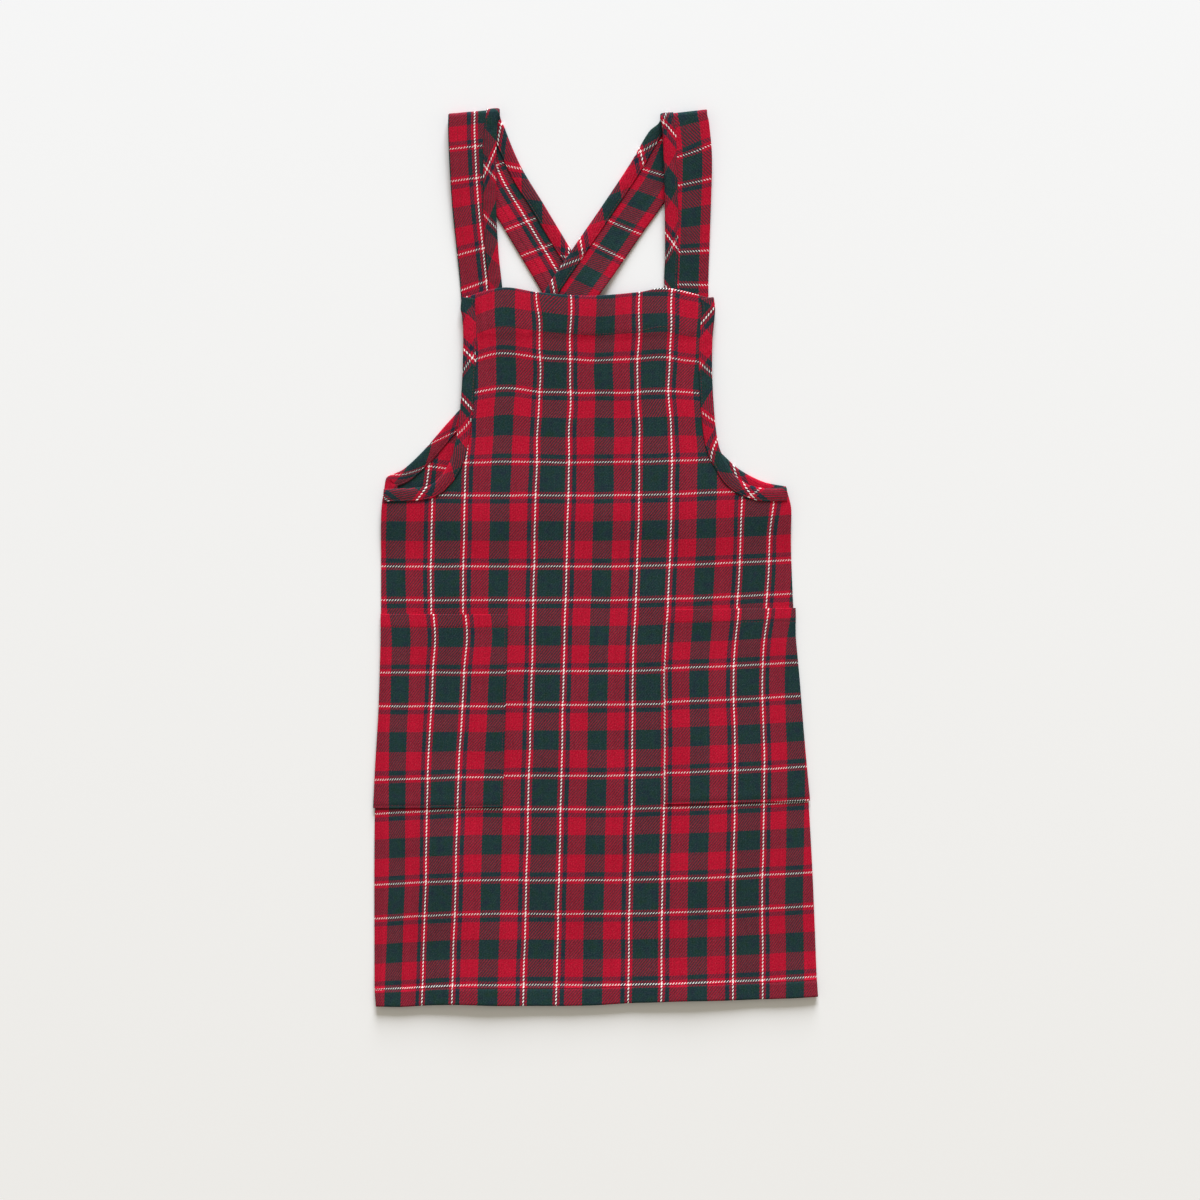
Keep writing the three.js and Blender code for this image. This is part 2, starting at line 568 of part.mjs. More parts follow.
// Scene graph: one named mesh for each sewn piece
const apron = new THREE.Group();
function addPiece(name, geometry, colour) {
  const finish = { color: colour, roughness: CLOTH_ROUGHNESS, metalness: 0 };
  const mesh = new THREE.Mesh(geometry, new THREE.MeshStandardMaterial(finish));
  mesh.name = name;
  apron.add(mesh);
}

addPiece("front_panel", frontPanel(), CLOTH_COLOUR);
for (const shape of POCKETS) addPiece(`pocket_${shape.name}`, pocket(shape), CLOTH_COLOUR);
for (const side of ["left", "right"]) {
  addPiece(`back_panel_${side}`, backPanel(side), CLOTH_COLOUR);
  addPiece(`strap_${side}`, strap(side), CLOTH_COLOUR);
  addPiece(`armhole_binding_${side}`, armholeBinding(side), BINDING_COLOUR);
  addPiece(`neck_binding_${side}`, neckBinding(side), BINDING_COLOUR);
}

export default apron;
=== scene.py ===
"""Looks of the checked cross-back apron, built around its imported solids.

Tables and shapes are in millimetres, as in the part's source: +X to the right as the apron lies front
up, +Y towards the shoulder folds, +Z up from the table. Meshes are in metres, in the same frame.
"""
import math

import bpy
import numpy as np
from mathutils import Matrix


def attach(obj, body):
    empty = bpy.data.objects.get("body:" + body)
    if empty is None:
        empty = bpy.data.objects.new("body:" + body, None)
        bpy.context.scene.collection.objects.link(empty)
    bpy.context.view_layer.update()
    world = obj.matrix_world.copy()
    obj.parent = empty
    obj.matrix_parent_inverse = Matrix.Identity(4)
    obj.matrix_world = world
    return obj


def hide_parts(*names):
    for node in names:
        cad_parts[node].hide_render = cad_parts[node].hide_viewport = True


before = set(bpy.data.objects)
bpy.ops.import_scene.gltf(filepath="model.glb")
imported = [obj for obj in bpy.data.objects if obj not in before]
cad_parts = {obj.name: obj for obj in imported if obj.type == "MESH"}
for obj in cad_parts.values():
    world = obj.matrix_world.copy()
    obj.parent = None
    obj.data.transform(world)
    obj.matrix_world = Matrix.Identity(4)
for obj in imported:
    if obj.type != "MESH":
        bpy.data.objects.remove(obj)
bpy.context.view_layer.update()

MM = 0.001

# Cloth and sewing
CLOTH = 1.0
HALF_CLOTH = CLOTH / 2
BINDING_WIDTH = 13.0
EDGE_INSET = 1.6  # from a finished bound edge to the cloth inside its binding
BINDING_HALF = 1.8  # height of the back binding's middle above the table
BINDING_SLOT = 0.8  # half of the slot that a binding leaves for the cloth's edge
BINDING_CLEAR = 3.0  # stretch beside a binding over which the front gets its full thickness
POCKET_LIFT = 1.25  # from the middle of the front to the middle of a pocket
POCKET_HEM = 13.0
POCKET_HEM_STEP = 0.32  # how far the mouth's turned hem raises the pocket's face
POCKET_HEM_RAMP = 6.0
POCKET_TURN = 8.0  # edge turned under round a pocket
POCKET_TURN_STEP = 0.2  # how far it raises the pocket's face
POCKET_OVERHANG = 2.0  # how far the lower outer corner stands past the side seam
POCKET_MOUTH_OUT = 20.0  # stretch over which the mouth's bulky corner stands out
POCKET_SLACK = 1.1  # how far the cloth below the mouth stands off the front
POCKET_SLACK_DEPTH = 45.0
POCKET_SINK = 0.15  # how far the bottom edge and the mouth sink towards the front
POCKET_BOTTOM_SINK = 6.0  # stretches over which they do
POCKET_MOUTH_SINK = 5.0
STRAP_HEM = 10.0
HEM_RAMP = 2.0  # stretch over which a turned hem's thickness runs out
SHOULDER_RADIUS = 3.5
ARMHOLE_RISE = 30.0  # stretch over which a back panel rises to its binding
ARMHOLE_LEVEL = 0.3  # stretch beside the binding where it has risen in full
BACK_HEM_FADE = 12.0  # stretch beside the armhole where the centre-back hem is thinned
SIDE_ROLL = 0.08  # share of the width over which the front rolls down to a side seam
SEAM_ROLL = 6.0  # last stretch beside a side seam, where the cloth turns down
SEAM_DROP = 0.42  # how far it turns down
HANDED = {"left": 1, "right": -1}  # sign that turns a frame the other way round on the right

# Stitch lines, by their distance from an edge
HEM_STITCH = 15.8
FACING_STITCH = 38.5
FACING_STITCH_GAP = 1.0  # from the bindings to the ends of the facing's stitches
POCKET_MOUTH_STITCH = 13.2
POCKET_EDGE_STITCH = 2.2
STRAP_STITCH = 8.6
BINDING_STITCH = 11.3

# Grooves that stitches pull into the cloth: depths and half widths
FRONT_GROOVE = 0.4
FRONT_GROOVE_WIDTH = 0.9
POCKET_GROOVE = 0.22
STRAP_GROOVE = 0.2
GROOVE_WIDTH = 0.8
POCKET_SEWN_DROP = 0.1  # how far a pocket's sewn edges are pressed down
POCKET_SEWN_WIDTH = 3.0

# Puckers beside stitches: heights, half widths, and starts that keep neighbouring rows apart
FRONT_PUCKER = 0.16
FACING_PUCKER_SHARE = 0.7
POCKET_PUCKER = 0.1
STRAP_PUCKER = 0.12
BINDING_PUCKER = 0.16
BINDING_PUCKER_RATE = 0.8
BINDING_PUCKER_SLANT = 0.35
HEM_PUCKER_WIDTH = 7.0
EDGE_PUCKER_WIDTH = 6.0
POCKET_EDGE_START = 3.7
POCKET_MOUTH_START = 8.1
STRAP_START = 5.3
PUCKER_WAVES = ((1.31, 0.7), (1.97, 2.1), (3.43, 4.4))  # length for each radian, and phase

# Mesh steps
FRONT_STEP = 3.1
BIB_STEP = FRONT_STEP * 0.8
POCKET_STEP = 3.0
BACK_STEP = 6.0
STRAP_STEP = 2.6
BINDING_STEP = 2.4
FOLD_STEPS = 16
CLOSE = (0.0, 0.4, 1.1, 2.2)  # rows and columns beside an edge
GROOVE_MARKS = (-1.3, -0.6, 0.0, 0.6, 1.3)  # rows and columns beside a stitch line
GROOVE_SPACE = 0.5  # least distance from those to any other
FOLD_SPACE = 0.25  # least distance between rows of a strap
EDGE_POINTS = 800  # points that measure the length of a curved edge
STITCH_ENDS = 2  # rows or columns that stitches leave free at the ends
HEM_STITCH_ENDS = 3
SEAM_POINTS = 3  # last points of a back armhole's edge, left out because the strap's neck edge ends there
FAR = 1e3  # a distance longer than the apron
UP = np.array([0.0, 0.0, 1.0])

# Edges of the cloth: share of the thickness left at the edge and beside it, and bulge of the rim
SOFT_EDGE = {"rounding": (0.5, 0.84), "bulge": 0.32}
PRESSED_EDGE = {"rounding": (0.84, 0.97), "bulge": 0.08}


def table(columns, *rows):
    """Columns of numbers by name."""
    return dict(zip(columns.split(), np.array(rows, float).T))


# Front panel from the hem to the armhole corner
SKIRT_ROWS = table(
    "left_x left_y right_x right_y mid_y layers",
    (-218.5, -447, 222.5, -439, -445, 2),
    (-219.8, -430, 221.3, -422, -428, 2),
    (-219.9, -428, 221.2, -420, -426, 1),
    (-220.2, -322, 217.3, -320, -322, 1),
    (-219.3, -226, 211.9, -224, -226, 1),
    (-215.3, -130, 204.9, -129, -130, 1),
    (-213.5, -40, 197.4, -40, -40, 1),
    (-213.5, 20, 195.4, 20, 20, 1),
    (-213, 46, 195.8, 46, 46, 1),
)

# Front panel from the armhole corner to the bib's top: finished edges of the bound sides
BIB_ROWS = table(
    "left_x left_y right_x right_y mid_y layers",
    (-210.5, 69, 191, 70, 68, 1),
    (-190, 69.5, 172, 69.5, 72, 1),
    (-168, 71.5, 155, 72.5, 81, 1),
    (-150, 87, 140, 82, 98, 1),
    (-143, 101, 131, 96, 112, 1),
    (-139, 118, 123.5, 112, 128, 1),
    (-134.5, 150, 119, 145, 156, 1),
    (-132, 190, 116.8, 190, 191, 1),
    (-131.5, 216, 117.2, 215, 216, 1),
    (-131.6, 225, 117.8, 224, 225, 2),
    (-132, 238, 119.2, 238, 238, 2),
    (-134.2, 249, 120, 249, 249, 2),
    (-133, 260, 118.6, 260, 260, 2),
)
TOP_WAVE_ROWS = 5

# Wave of the bib's top edge by the share of its width from the left
BIB_TOP = table(
    "at lift", (0, 0), (0.17, 9.5), (0.31, 4), (0.5, 1), (0.71, 5), (0.8, 9), (1, -1)
)

# Height of the front's middle layer along its length, at the side seams and in the middle
FRONT_LEVELS = table(
    "y side middle",
    (-450, 4.3, 4.9),
    (-425, 3.3, 3.9),
    (-390, 2.2, 3.1),
    (-10, 1.9, 3.1),
    (52, 5.8, 5.8),
    (150, 6.2, 6.2),
    (200, 5.8, 5.8),
    (275, 5.0, 5.0),
)

# Soft swells of the front: place, turn of the long axis from +Y, half length, half width, height
SWELLS = (
    (-24, 250, 0, 54, 54, 4.5),
    (0, -150, 8, 150, 38, 2.0),
    (-140, -330, -14, 80, 26, 2.2),
    (118, -300, 12, 90, 30, 2.4),
    (-75, 20, -10, 60, 34, 1.6),
    (95, 30, 14, 60, 30, 1.6),
)

# Slight unevenness of cloth that has been folded and laid out: wave length, turn, phase, height
DRAPE_WAVES = (
    (150, 25, 0.4, 0.22),
    (95, -40, 1.9, 0.17),
    (62, 70, 3.1, 0.11),
    (41, 10, 5.0, 0.07),
)

# Back panels from the hem to the armhole corner: side seam and centre-back edge
BACK_COLUMNS = "side_x side_y back_x back_y layers"
BACK_SKIRT_ROWS = {
    "left": table(
        BACK_COLUMNS,
        (-217.5, -446, -22, -444, 2),
        (-218.3, -429, -22, -427, 2),
        (-218.4, -427, -22, -425, 1),
        (-219, -322, -24, -322, 1),
        (-218.4, -226, -26, -226, 1),
        (-214.4, -130, -28, -130, 1),
        (-212.5, -40, -33, -40, 1),
        (-212.5, 30, -41, 30, 1),
    ),
    "right": table(
        BACK_COLUMNS,
        (221.5, -438, 10, -441, 2),
        (220.6, -421, 10, -424, 2),
        (220.5, -419, 10, -422, 1),
        (215.5, -320, 11, -321, 1),
        (210.5, -224, 13, -225, 1),
        (203.5, -129, 15, -129, 1),
        (196, -40, 19, -40, 1),
        (194.3, 30, 25, 28, 1),
    ),
}

# Back panels from the armhole corner to the strap seam: finished bound edge and centre-back edge
BACK_ARMHOLE_ROWS = {
    "left": table(
        BACK_COLUMNS,
        (-211, 66, -48, 62, 1),
        (-208.8, 79.5, -54, 78, 1),
        (-192.5, 88, -62, 94, 1),
        (-173.6, 105, -72, 109, 1),
        (-150.4, 131.5, -81, 122, 1),
        (-131, 153, -88, 131, 1),
    ),
    "right": table(
        BACK_COLUMNS,
        (191, 71.5, 30, 58, 1),
        (172, 75, 33, 72, 1),
        (145, 88, 37, 89, 1),
        (124, 107, 41, 103, 1),
        (102, 126.5, 43, 112, 1),
        (81, 144, 45, 118, 1),
    ),
}

# Patch pockets: inner edge's corners, heights of the outer edge on the side seam, and how far the mouth's
# bulky corner stands out
POCKETS = {
    "left": {
        "top": (-87, -56.5),
        "bottom": (-92, -249),
        "outer_top": -56,
        "outer_bottom": -249.8,
        "mouth_out": 0.6,
    },
    "right": {
        "top": (70, -51.5),
        "bottom": (69, -246),
        "outer_top": -50,
        "outer_bottom": -242.5,
        "mouth_out": 2.4,
    },
}

# Straps from behind the bib to the back panel: outer and neck edges. FOLD_ROW is the shoulder's crest.
STRAP_COLUMNS = "outer_x outer_y outer_z neck_x neck_y neck_z"
FOLD_ROW = 6
STRAP_ROWS = {
    "left": table(
        STRAP_COLUMNS,
        (-132, 233, 1.7, -90, 238, 1.9),
        (-134.5, 273, 1.9, -93, 274, 2.3),
        (-138, 308, 3.0, -96.5, 308, 3.6),
        (-142.5, 353, 5.0, -98.5, 353, 5.6),
        (-145.2, 398, 7.2, -98.5, 398, 7.6),
        (-146.2, 430, 8.4, -97, 434, 8.6),
        (-146, 443, 1.6, -95, 447.2, 1.9),
        (-133, 418, 0.8, -90, 429, 2.3),
        (-114, 369, 0.6, -75, 393, 2.3),
        (-90.5, 329, 0.6, -51, 353, 2.3),
        (-66.5, 289, 0.6, -27, 313, 2.3),
        (-30.5, 229, 0.6, 9, 253, 2.3),
        (6, 170, 0.6, 45, 195, 2.3),
        (45, 118, 1.8, 81, 144, 1.8),
    ),
    "right": table(
        STRAP_COLUMNS,
        (113, 233, 1.7, 69.5, 236, 1.9),
        (113, 273, 1.9, 69, 274, 2.3),
        (114, 308, 3.0, 70, 308, 3.6),
        (115.5, 353, 5.0, 69.5, 353, 5.6),
        (116.5, 395, 7.2, 68.5, 396, 7.6),
        (113.5, 434, 8.4, 67, 430, 8.6),
        (111.5, 447.2, 1.6, 65, 441.8, 1.9),
        (97, 412, 0.8, 54, 426, 2.3),
        (77, 368, 0.8, 37, 397, 2.3),
        (46, 323, 1.0, 8, 353, 2.8),
        (16.5, 280, 3.0, -22, 309, 6.3),
        (4.5, 263, 5.8, -34.2, 291, 6.3),
        (-20, 228, 5.8, -59, 254, 5.8),
        (-54, 179, 1.4, -96, 200, 2.3),
        (-88, 131, 1.8, -131, 153, 1.8),
    ),
}

# Tartan by counts of yarns, from the middle of the wide green to the middle of the other green
WARP_COUNTS = (("green", 18), ("red", 4), ("white", 2), ("red", 4), ("navy", 6), ("red", 25), ("green", 14))
WEFT_COUNTS = (("green", 15), ("red", 3), ("white", 2), ("red", 3), ("navy", 5), ("red", 20), ("green", 11))
WARP_HALF = sum(count for _, count in WARP_COUNTS)
WEFT_HALF = sum(count for _, count in WEFT_COUNTS)
WARP_PITCH = 0.7027
WEFT_PITCH = 0.8901
WARP_REPEAT = 2 * WARP_HALF * WARP_PITCH
WEFT_REPEAT = 2 * WEFT_HALF * WEFT_PITCH
YARN_COLOURS = {
    "red": (0.447, 0.0072, 0.0295),
    "green": (0.0138, 0.0395, 0.0405),
    "navy": (0.016, 0.0305, 0.043),
    "white": (0.97, 0.92, 0.89),
}

# How the check lies on the front: its lean, repeat and sag. Heights are where a change starts and is full.
CHECK_CENTRE_X = -42.1  # middle of a wide green stripe at CHECK_CENTRE_Y
CHECK_CENTRE_Y = 98.0
CHECK_LEAN = 0.0242
CHECK_LEAN_TOP = 158.0  # the stripes stand straight above this
CHECK_REPEAT_X = 103.2
CHECK_PINCHES = ((-112, 70, 2.4), (173, 55, 4.2))  # height, half length and narrowing of the repeat
CHECK_FLARE = 1.4  # widening of the repeat at the hem
CHECK_FLARE_HEIGHTS = (-320.0, -440.0)
CHECK_ROW_Y = -25.4  # middle of a wide green row
CHECK_REPEAT_Y = 104.4
CHECK_RISE = 6.5  # rise of the rows towards the right side seam
CHECK_RISE_FROM = 5.0
CHECK_RISE_SPAN = 190.0
CHECK_RISE_POWER = 1.6
CHECK_DIP = 4.0  # dip of the lower rows towards the left side seam
CHECK_DIP_FROM = -125.0
CHECK_DIP_SPAN = 80.0
CHECK_DIP_POWER = 1.2
CHECK_DIP_HEIGHTS = (-170.0, -260.0)
RIGHT_CROWDING = 0.11  # narrowing of the stripes where the cloth turns to a side seam
RIGHT_CROWDING_FROM = 138.0
RIGHT_CROWDING_HEIGHTS = (70.0, 20.0)
LEFT_CROWDING = ((0.08, -137.0), (0.14, -168.0))  # narrowing, and where it starts
LEFT_CROWDING_HEIGHTS = (0.0, -330.0)
# Small shifts of the stripes: middle, half width and half length, and shift to the right
CHECK_NUDGES = (
    (-72, 235, 34, 80, 2.5),
    (-54, 264, 12, 20, -4.5),
    (-92, 240, 14, 24, 1.6),
    (58, 245, 30, 45, -2.3),
)
# Slight wander of the stripes and rows: length along the yarn and across it, phase and shift
STRIPE_WANDER = ((92, 210, 0.6, 0.5), (47, -130, 2.2, 0.3))
ROW_WANDER = ((88, 240, 1.1, 0.4), (43, -150, 4.0, 0.25))
SKIRT_WANDER = 0.3  # share of the wander that the skirt has, which lies smoother than the bib
BIB_WANDER_HEIGHTS = (40.0, 160.0)
BIB_SHORTENING = 0.035  # how much closer the rows lie on the bib
BIB_SHORTENING_FROM = 80.0
# Wave of the bib's rows by the share of its width from the left
BIB_CHECK = table(
    "at lift", (0, -3), (0.17, 10.5), (0.31, 5), (0.5, 1), (0.71, 3), (0.8, 3.2), (0.9, -1.5), (1, -6.5)
)
BIB_CHECK_LEFT = -132.0
BIB_CHECK_WIDTH = 249.0
BIB_CHECK_HEIGHTS = (70.0, 265.0)


def ease(low, high, value):
    """Smooth step from 0 at low to 1 at high."""
    t = np.clip((np.asarray(value, float) - low) / (high - low), 0, 1)
    return t * t * (3 - 2 * t)


def bell(value, middle, width):
    """Bell curve that is 1 in the middle."""
    return np.exp(-(((value - middle) / width) ** 2))


def column_at(keys, values, key):
    """One column at any key, by a cubic that never swings past the rows it joins."""
    keys, values, key = (np.asarray(part, float) for part in (keys, values, key))
    span = np.diff(keys)
    slope = np.diff(values) / span
    tangent = np.concatenate([slope[:1], np.zeros(len(slope) - 1), slope[-1:]])
    before, after = slope[:-1], slope[1:]
    steady = before * after > 0
    tangent[1:-1][steady] = 2 * before[steady] * after[steady] / (before[steady] + after[steady])
    i = np.clip(np.searchsorted(keys, key) - 1, 0, len(span) - 1)
    u = np.clip((key - keys[i]) / span[i], 0, 1)
    leave = u * (1 - u) ** 2 * span[i] * tangent[i]
    arrive = u * u * (1 - u) * span[i] * tangent[i + 1]
    return values[i] + (values[i + 1] - values[i]) * u * u * (3 - 2 * u) + leave - arrive


def rows_at(rows, places):
    """All columns of a table at places along it, where row 0 is at 0 and row 1 at 1."""
    keys = np.arange(len(next(iter(rows.values()))))
    return {name: column_at(keys, column, places) for name, column in rows.items()}


def joined(first, second):
    """Two tables with the same columns, one after the other."""
    return {name: np.concatenate([first[name], second[name]]) for name in first}


def lengths_along(points):
    """Distance of each point from the first, along the line through them."""
    steps = np.linalg.norm(np.diff(points, axis=0), axis=1)
    return np.concatenate([[0.0], np.cumsum(steps)])


def unit(vectors):
    """Vectors scaled to length 1."""
    return vectors / np.linalg.norm(vectors, axis=-1, keepdims=True)


def turned(x, y, degrees):
    """Places measured along axes that are turned anticlockwise."""
    sine, cosine = math.sin(math.radians(degrees)), math.cos(math.radians(degrees))
    return cosine * x + sine * y, cosine * y - sine * x


def spread(length, step, seams=()):
    """Distances over a length, about a step apart, closer beside both ends and beside stitch lines."""
    count = max(int(round((length - 2 * CLOSE[-1]) / step)), 1)
    marks = list(np.linspace(CLOSE[-1], length - CLOSE[-1], count + 1))
    for seam in seams:
        marks = [mark for mark in marks if abs(mark - seam) > GROOVE_MARKS[-1] + GROOVE_SPACE]
        marks += [seam + offset for offset in GROOVE_MARKS]
    marks += list(CLOSE[:-1]) + [length - near for near in CLOSE[:-1]]
    return np.unique(np.round(marks, 4))


def nearest(distances, wanted):
    """Index of the row or column that lies at a distance."""
    return int(np.argmin(np.abs(distances - wanted)))


def pucker(along):
    """Uneven gathering of cloth along a row of stitches, from -1 to 1."""
    waves = sum(np.sin(along / length + phase) for length, phase in PUCKER_WAVES)
    return waves / len(PUCKER_WAVES)


def add_object(name, data):
    """A new object in the scene."""
    item = bpy.data.objects.new(name, data)
    bpy.context.scene.collection.objects.link(item)
    return item


def closed_cloth(name, outer, inner, fabric, finish, edge=SOFT_EDGE):
    """A closed wall of cloth between two grids of points, with a rounded rim and a map of its fabric."""
    rows, columns = outer.shape[:2]
    row_index, column_index = np.mgrid[0:rows, 0:columns]
    from_edge = np.minimum.reduce(
        [row_index, rows - 1 - row_index, column_index, columns - 1 - column_index]
    )
    middle = (outer + inner) / 2
    keep = np.ones((rows, columns, 1))
    for steps, share in enumerate(edge["rounding"]):
        keep[from_edge == steps] = share
    outer = middle + (outer - middle) * keep
    inner = middle + (inner - middle) * keep

    border = [(0, c) for c in range(columns - 1)]
    border += [(r, columns - 1) for r in range(rows - 1)]
    border += [(rows - 1, c) for c in range(columns - 1, 0, -1)]
    border += [(r, 0) for r in range(rows - 1, 0, -1)]
    edge_row, edge_column = np.array(border).T
    beside_row = np.clip(edge_row, 1, rows - 2)
    beside_column = np.clip(edge_column, 1, columns - 2)
    outward = unit(middle[edge_row, edge_column] - middle[beside_row, beside_column])
    rim = middle[edge_row, edge_column] + outward * edge["bulge"]

    size = rows * columns
    vertices = np.concatenate([outer.reshape(-1, 3), inner.reshape(-1, 3), rim])
    flat = fabric.reshape(-1, 2)
    uv = np.concatenate([flat, flat, fabric[edge_row, edge_column]])
    corner = (row_index[:-1, :-1] * columns + column_index[:-1, :-1]).ravel()
    top = np.stack([corner, corner + 1, corner + columns + 1, corner + columns], axis=1)
    under = top[:, ::-1] + size
    ring = edge_row * columns + edge_column
    ring_next = np.roll(ring, -1)
    mid = 2 * size + np.arange(len(ring))
    mid_next = np.roll(mid, -1)
    upper_rim = np.stack([ring_next, ring, mid, mid_next], axis=1)
    lower_rim = np.stack([mid_next, mid, ring + size, ring_next + size], axis=1)
    faces = np.concatenate([top, under, upper_rim, lower_rim])
    a, b, c, d = (vertices[faces[:, k]] for k in range(4))
    volume = np.sum(a * np.cross(b, c)) + np.sum(a * np.cross(c, d))
    if volume < 0:
        faces = faces[:, ::-1]

    mesh = bpy.data.meshes.new(name)
    mesh.from_pydata((vertices * MM).tolist(), [], faces.tolist())
    layer = mesh.uv_layers.new(name="fabric")
    layer.data.foreach_set("uv", (uv[faces.ravel()] * MM).astype(np.float32).ravel())
    mesh.shade_smooth()
    mesh.materials.append(finish)
    return add_object(name, mesh)


def front_height(x, y):
    """Height of the front panel's middle layer, with its swells and slight unevenness."""
    side = column_at(FRONT_LEVELS["y"], FRONT_LEVELS["side"], y)
    middle = column_at(FRONT_LEVELS["y"], FRONT_LEVELS["middle"], y)
    left = column_at(SKIRT_ROWS["left_y"], SKIRT_ROWS["left_x"], y)
    right = column_at(SKIRT_ROWS["left_y"], SKIRT_ROWS["right_x"], y)
    share = (x - left) / (right - left)
    roll = ease(0, SIDE_ROLL, np.minimum(share, 1 - share))
    height = side + (middle - side) * roll
    for swell_x, swell_y, turn, long, wide, high in SWELLS:
        over, along = turned(x - swell_x, y - swell_y, -turn)
        height = height + high * np.exp(-0.5 * ((along / long) ** 2 + (over / wide) ** 2))
    for length, turn, phase, high in DRAPE_WAVES:
        way, _ = turned(x, y, turn)
        height = height + roll * high * np.sin(2 * math.pi * way / length + phase)
    return height


def on_front(flat):
    """Points of the front's middle layer above places on the table."""
    return np.stack([flat[:, 0], flat[:, 1], front_height(flat[:, 0], flat[:, 1])], axis=1)


def wander(waves, along, across):
    """Shift of the yarns to the side by their place in the cloth."""
    shift = 0
    for long, wide, phase, amount in waves:
        shift = shift + amount * np.sin(2 * math.pi * (along / long + across / wide) + phase)
    return shift


def front_fabric(x, y):
    """Fabric coordinates of the front at places on the table, so that its check lies as it should."""
    centre = CHECK_CENTRE_X + CHECK_LEAN * (np.minimum(y, CHECK_LEAN_TOP) - CHECK_CENTRE_Y)
    repeat = CHECK_REPEAT_X + CHECK_FLARE * ease(*CHECK_FLARE_HEIGHTS, y)
    for height, half, narrowing in CHECK_PINCHES:
        repeat = repeat - narrowing * bell(y, height, half)
    nudge = 0
    for middle_x, middle_y, half_wide, half_long, shift in CHECK_NUDGES:
        nudge = nudge + shift * bell(x, middle_x, half_wide) * bell(y, middle_y, half_long)
    u = (x - centre - nudge) / repeat * WARP_REPEAT
    crowded = np.clip(x - RIGHT_CROWDING_FROM, 0, None) * ease(*RIGHT_CROWDING_HEIGHTS, y)
    u = u + RIGHT_CROWDING * crowded
    for crowding, start in LEFT_CROWDING:
        u = u - crowding * np.clip(start - x, 0, None) * ease(*LEFT_CROWDING_HEIGHTS, y)

    to_right = np.clip(x - CHECK_RISE_FROM, 0, None) / CHECK_RISE_SPAN
    rise = CHECK_RISE * to_right ** CHECK_RISE_POWER
    to_left = np.clip(CHECK_DIP_FROM - x, 0, None) / CHECK_DIP_SPAN
    dip = CHECK_DIP * to_left ** CHECK_DIP_POWER * ease(*CHECK_DIP_HEIGHTS, y)
    over_bib = (x - BIB_CHECK_LEFT) / BIB_CHECK_WIDTH
    lift = column_at(BIB_CHECK["at"], BIB_CHECK["lift"], over_bib) * ease(*BIB_CHECK_HEIGHTS, y)
    level = y - rise + dip - lift
    level = level + BIB_SHORTENING * np.clip(level - BIB_SHORTENING_FROM, 0, None)
    v = (level - CHECK_ROW_Y) / CHECK_REPEAT_Y * WEFT_REPEAT

    loose = SKIRT_WANDER + (1 - SKIRT_WANDER) * ease(*BIB_WANDER_HEIGHTS, y)
    u = u + loose * wander(STRIPE_WANDER, y, x)
    v = v + loose * wander(ROW_WANDER, x, y)
    return np.stack([u, v], axis=-1)


def edge_lines(rows, places, side, handed):
    """Lines of a bound edge at places along its table: finished edge, way inwards and cloth edge."""
    at = rows_at(rows, places)
    finished = np.stack([at[f"{side}_x"], at[f"{side}_y"], np.zeros(len(places))], axis=1)
    way = unit(np.gradient(finished, axis=0))
    inward = np.stack([way[:, 1], -way[:, 0], np.zeros(len(places))], axis=1) * handed
    cloth_edge = finished + inward * EDGE_INSET
    return {"places": places, "finished": finished, "inward": inward, "cloth": cloth_edge}


def bound_edge(rows, side, handed, step):
    """Lines of a bound edge, at points about a step apart."""
    fine = np.linspace(0, len(rows[f"{side}_x"]) - 1, EDGE_POINTS)
    line = rows_at(rows, fine)
    lengths = lengths_along(np.stack([line[f"{side}_x"], line[f"{side}_y"]], axis=1))
    places = np.interp(spread(lengths[-1], step), lengths, fine)
    return edge_lines(rows, places, side, handed)


def front_edges():
    """Both bound edges of the bib, with points at the same places of its table."""
    left = bound_edge(BIB_ROWS, "left", HANDED["left"], BIB_STEP)
    return left, edge_lines(BIB_ROWS, left["places"], "right", HANDED["right"])


def set_edge(rows, side, edge):
    """Puts the cloth edge of a bound side into rows."""
    rows[f"{side}_x"] = edge["cloth"][:, 0]
    rows[f"{side}_y"] = edge["cloth"][:, 1]


def rows_from_hem(skirt_rows, upper_rows, height, step):
    """Rows from the hem to the first of the upper rows, about a step apart, and their distances from it."""
    rows = joined(skirt_rows, {name: column[:1] for name, column in upper_rows.items()})
    lengths = rows[height] - rows[height][0]
    from_hem = spread(lengths[-1], step, seams=(HEM_STITCH,))
    from_hem = from_hem[from_hem < lengths[-1] - CLOSE[-1]]
    return rows_at(rows, np.interp(from_hem, lengths, np.arange(len(lengths)))), from_hem


def lying_faces(x, y, z, above):
    """Upper and lower face of a cloth that lies flat, by its middle layer and the thickness above it."""
    middle = np.stack([x, y, z], axis=-1)
    return middle + UP * above[..., None], middle - UP * HALF_CLOTH


# Waves of the hem's edge by the share of its width from the left
HEM_EDGE = table(
    "at lift", (0, -0.8), (0.05, -1.5), (0.12, -0.4), (0.3, -2), (0.48, -1.5), (0.6, 1.5), (0.85, 2), (1, 1)
)
HEM_EDGE_REACH = 60.0
HEM_UNEVENNESS = 0.4
HEM_UNEVEN_STRETCH = 9.0
STITCH_LINES = []  # each one: points, ways up from the cloth


def stitch_along(points, ups):
    """Adds a row of stitches along points of a cloth face."""
    STITCH_LINES.append((points, unit(ups)))


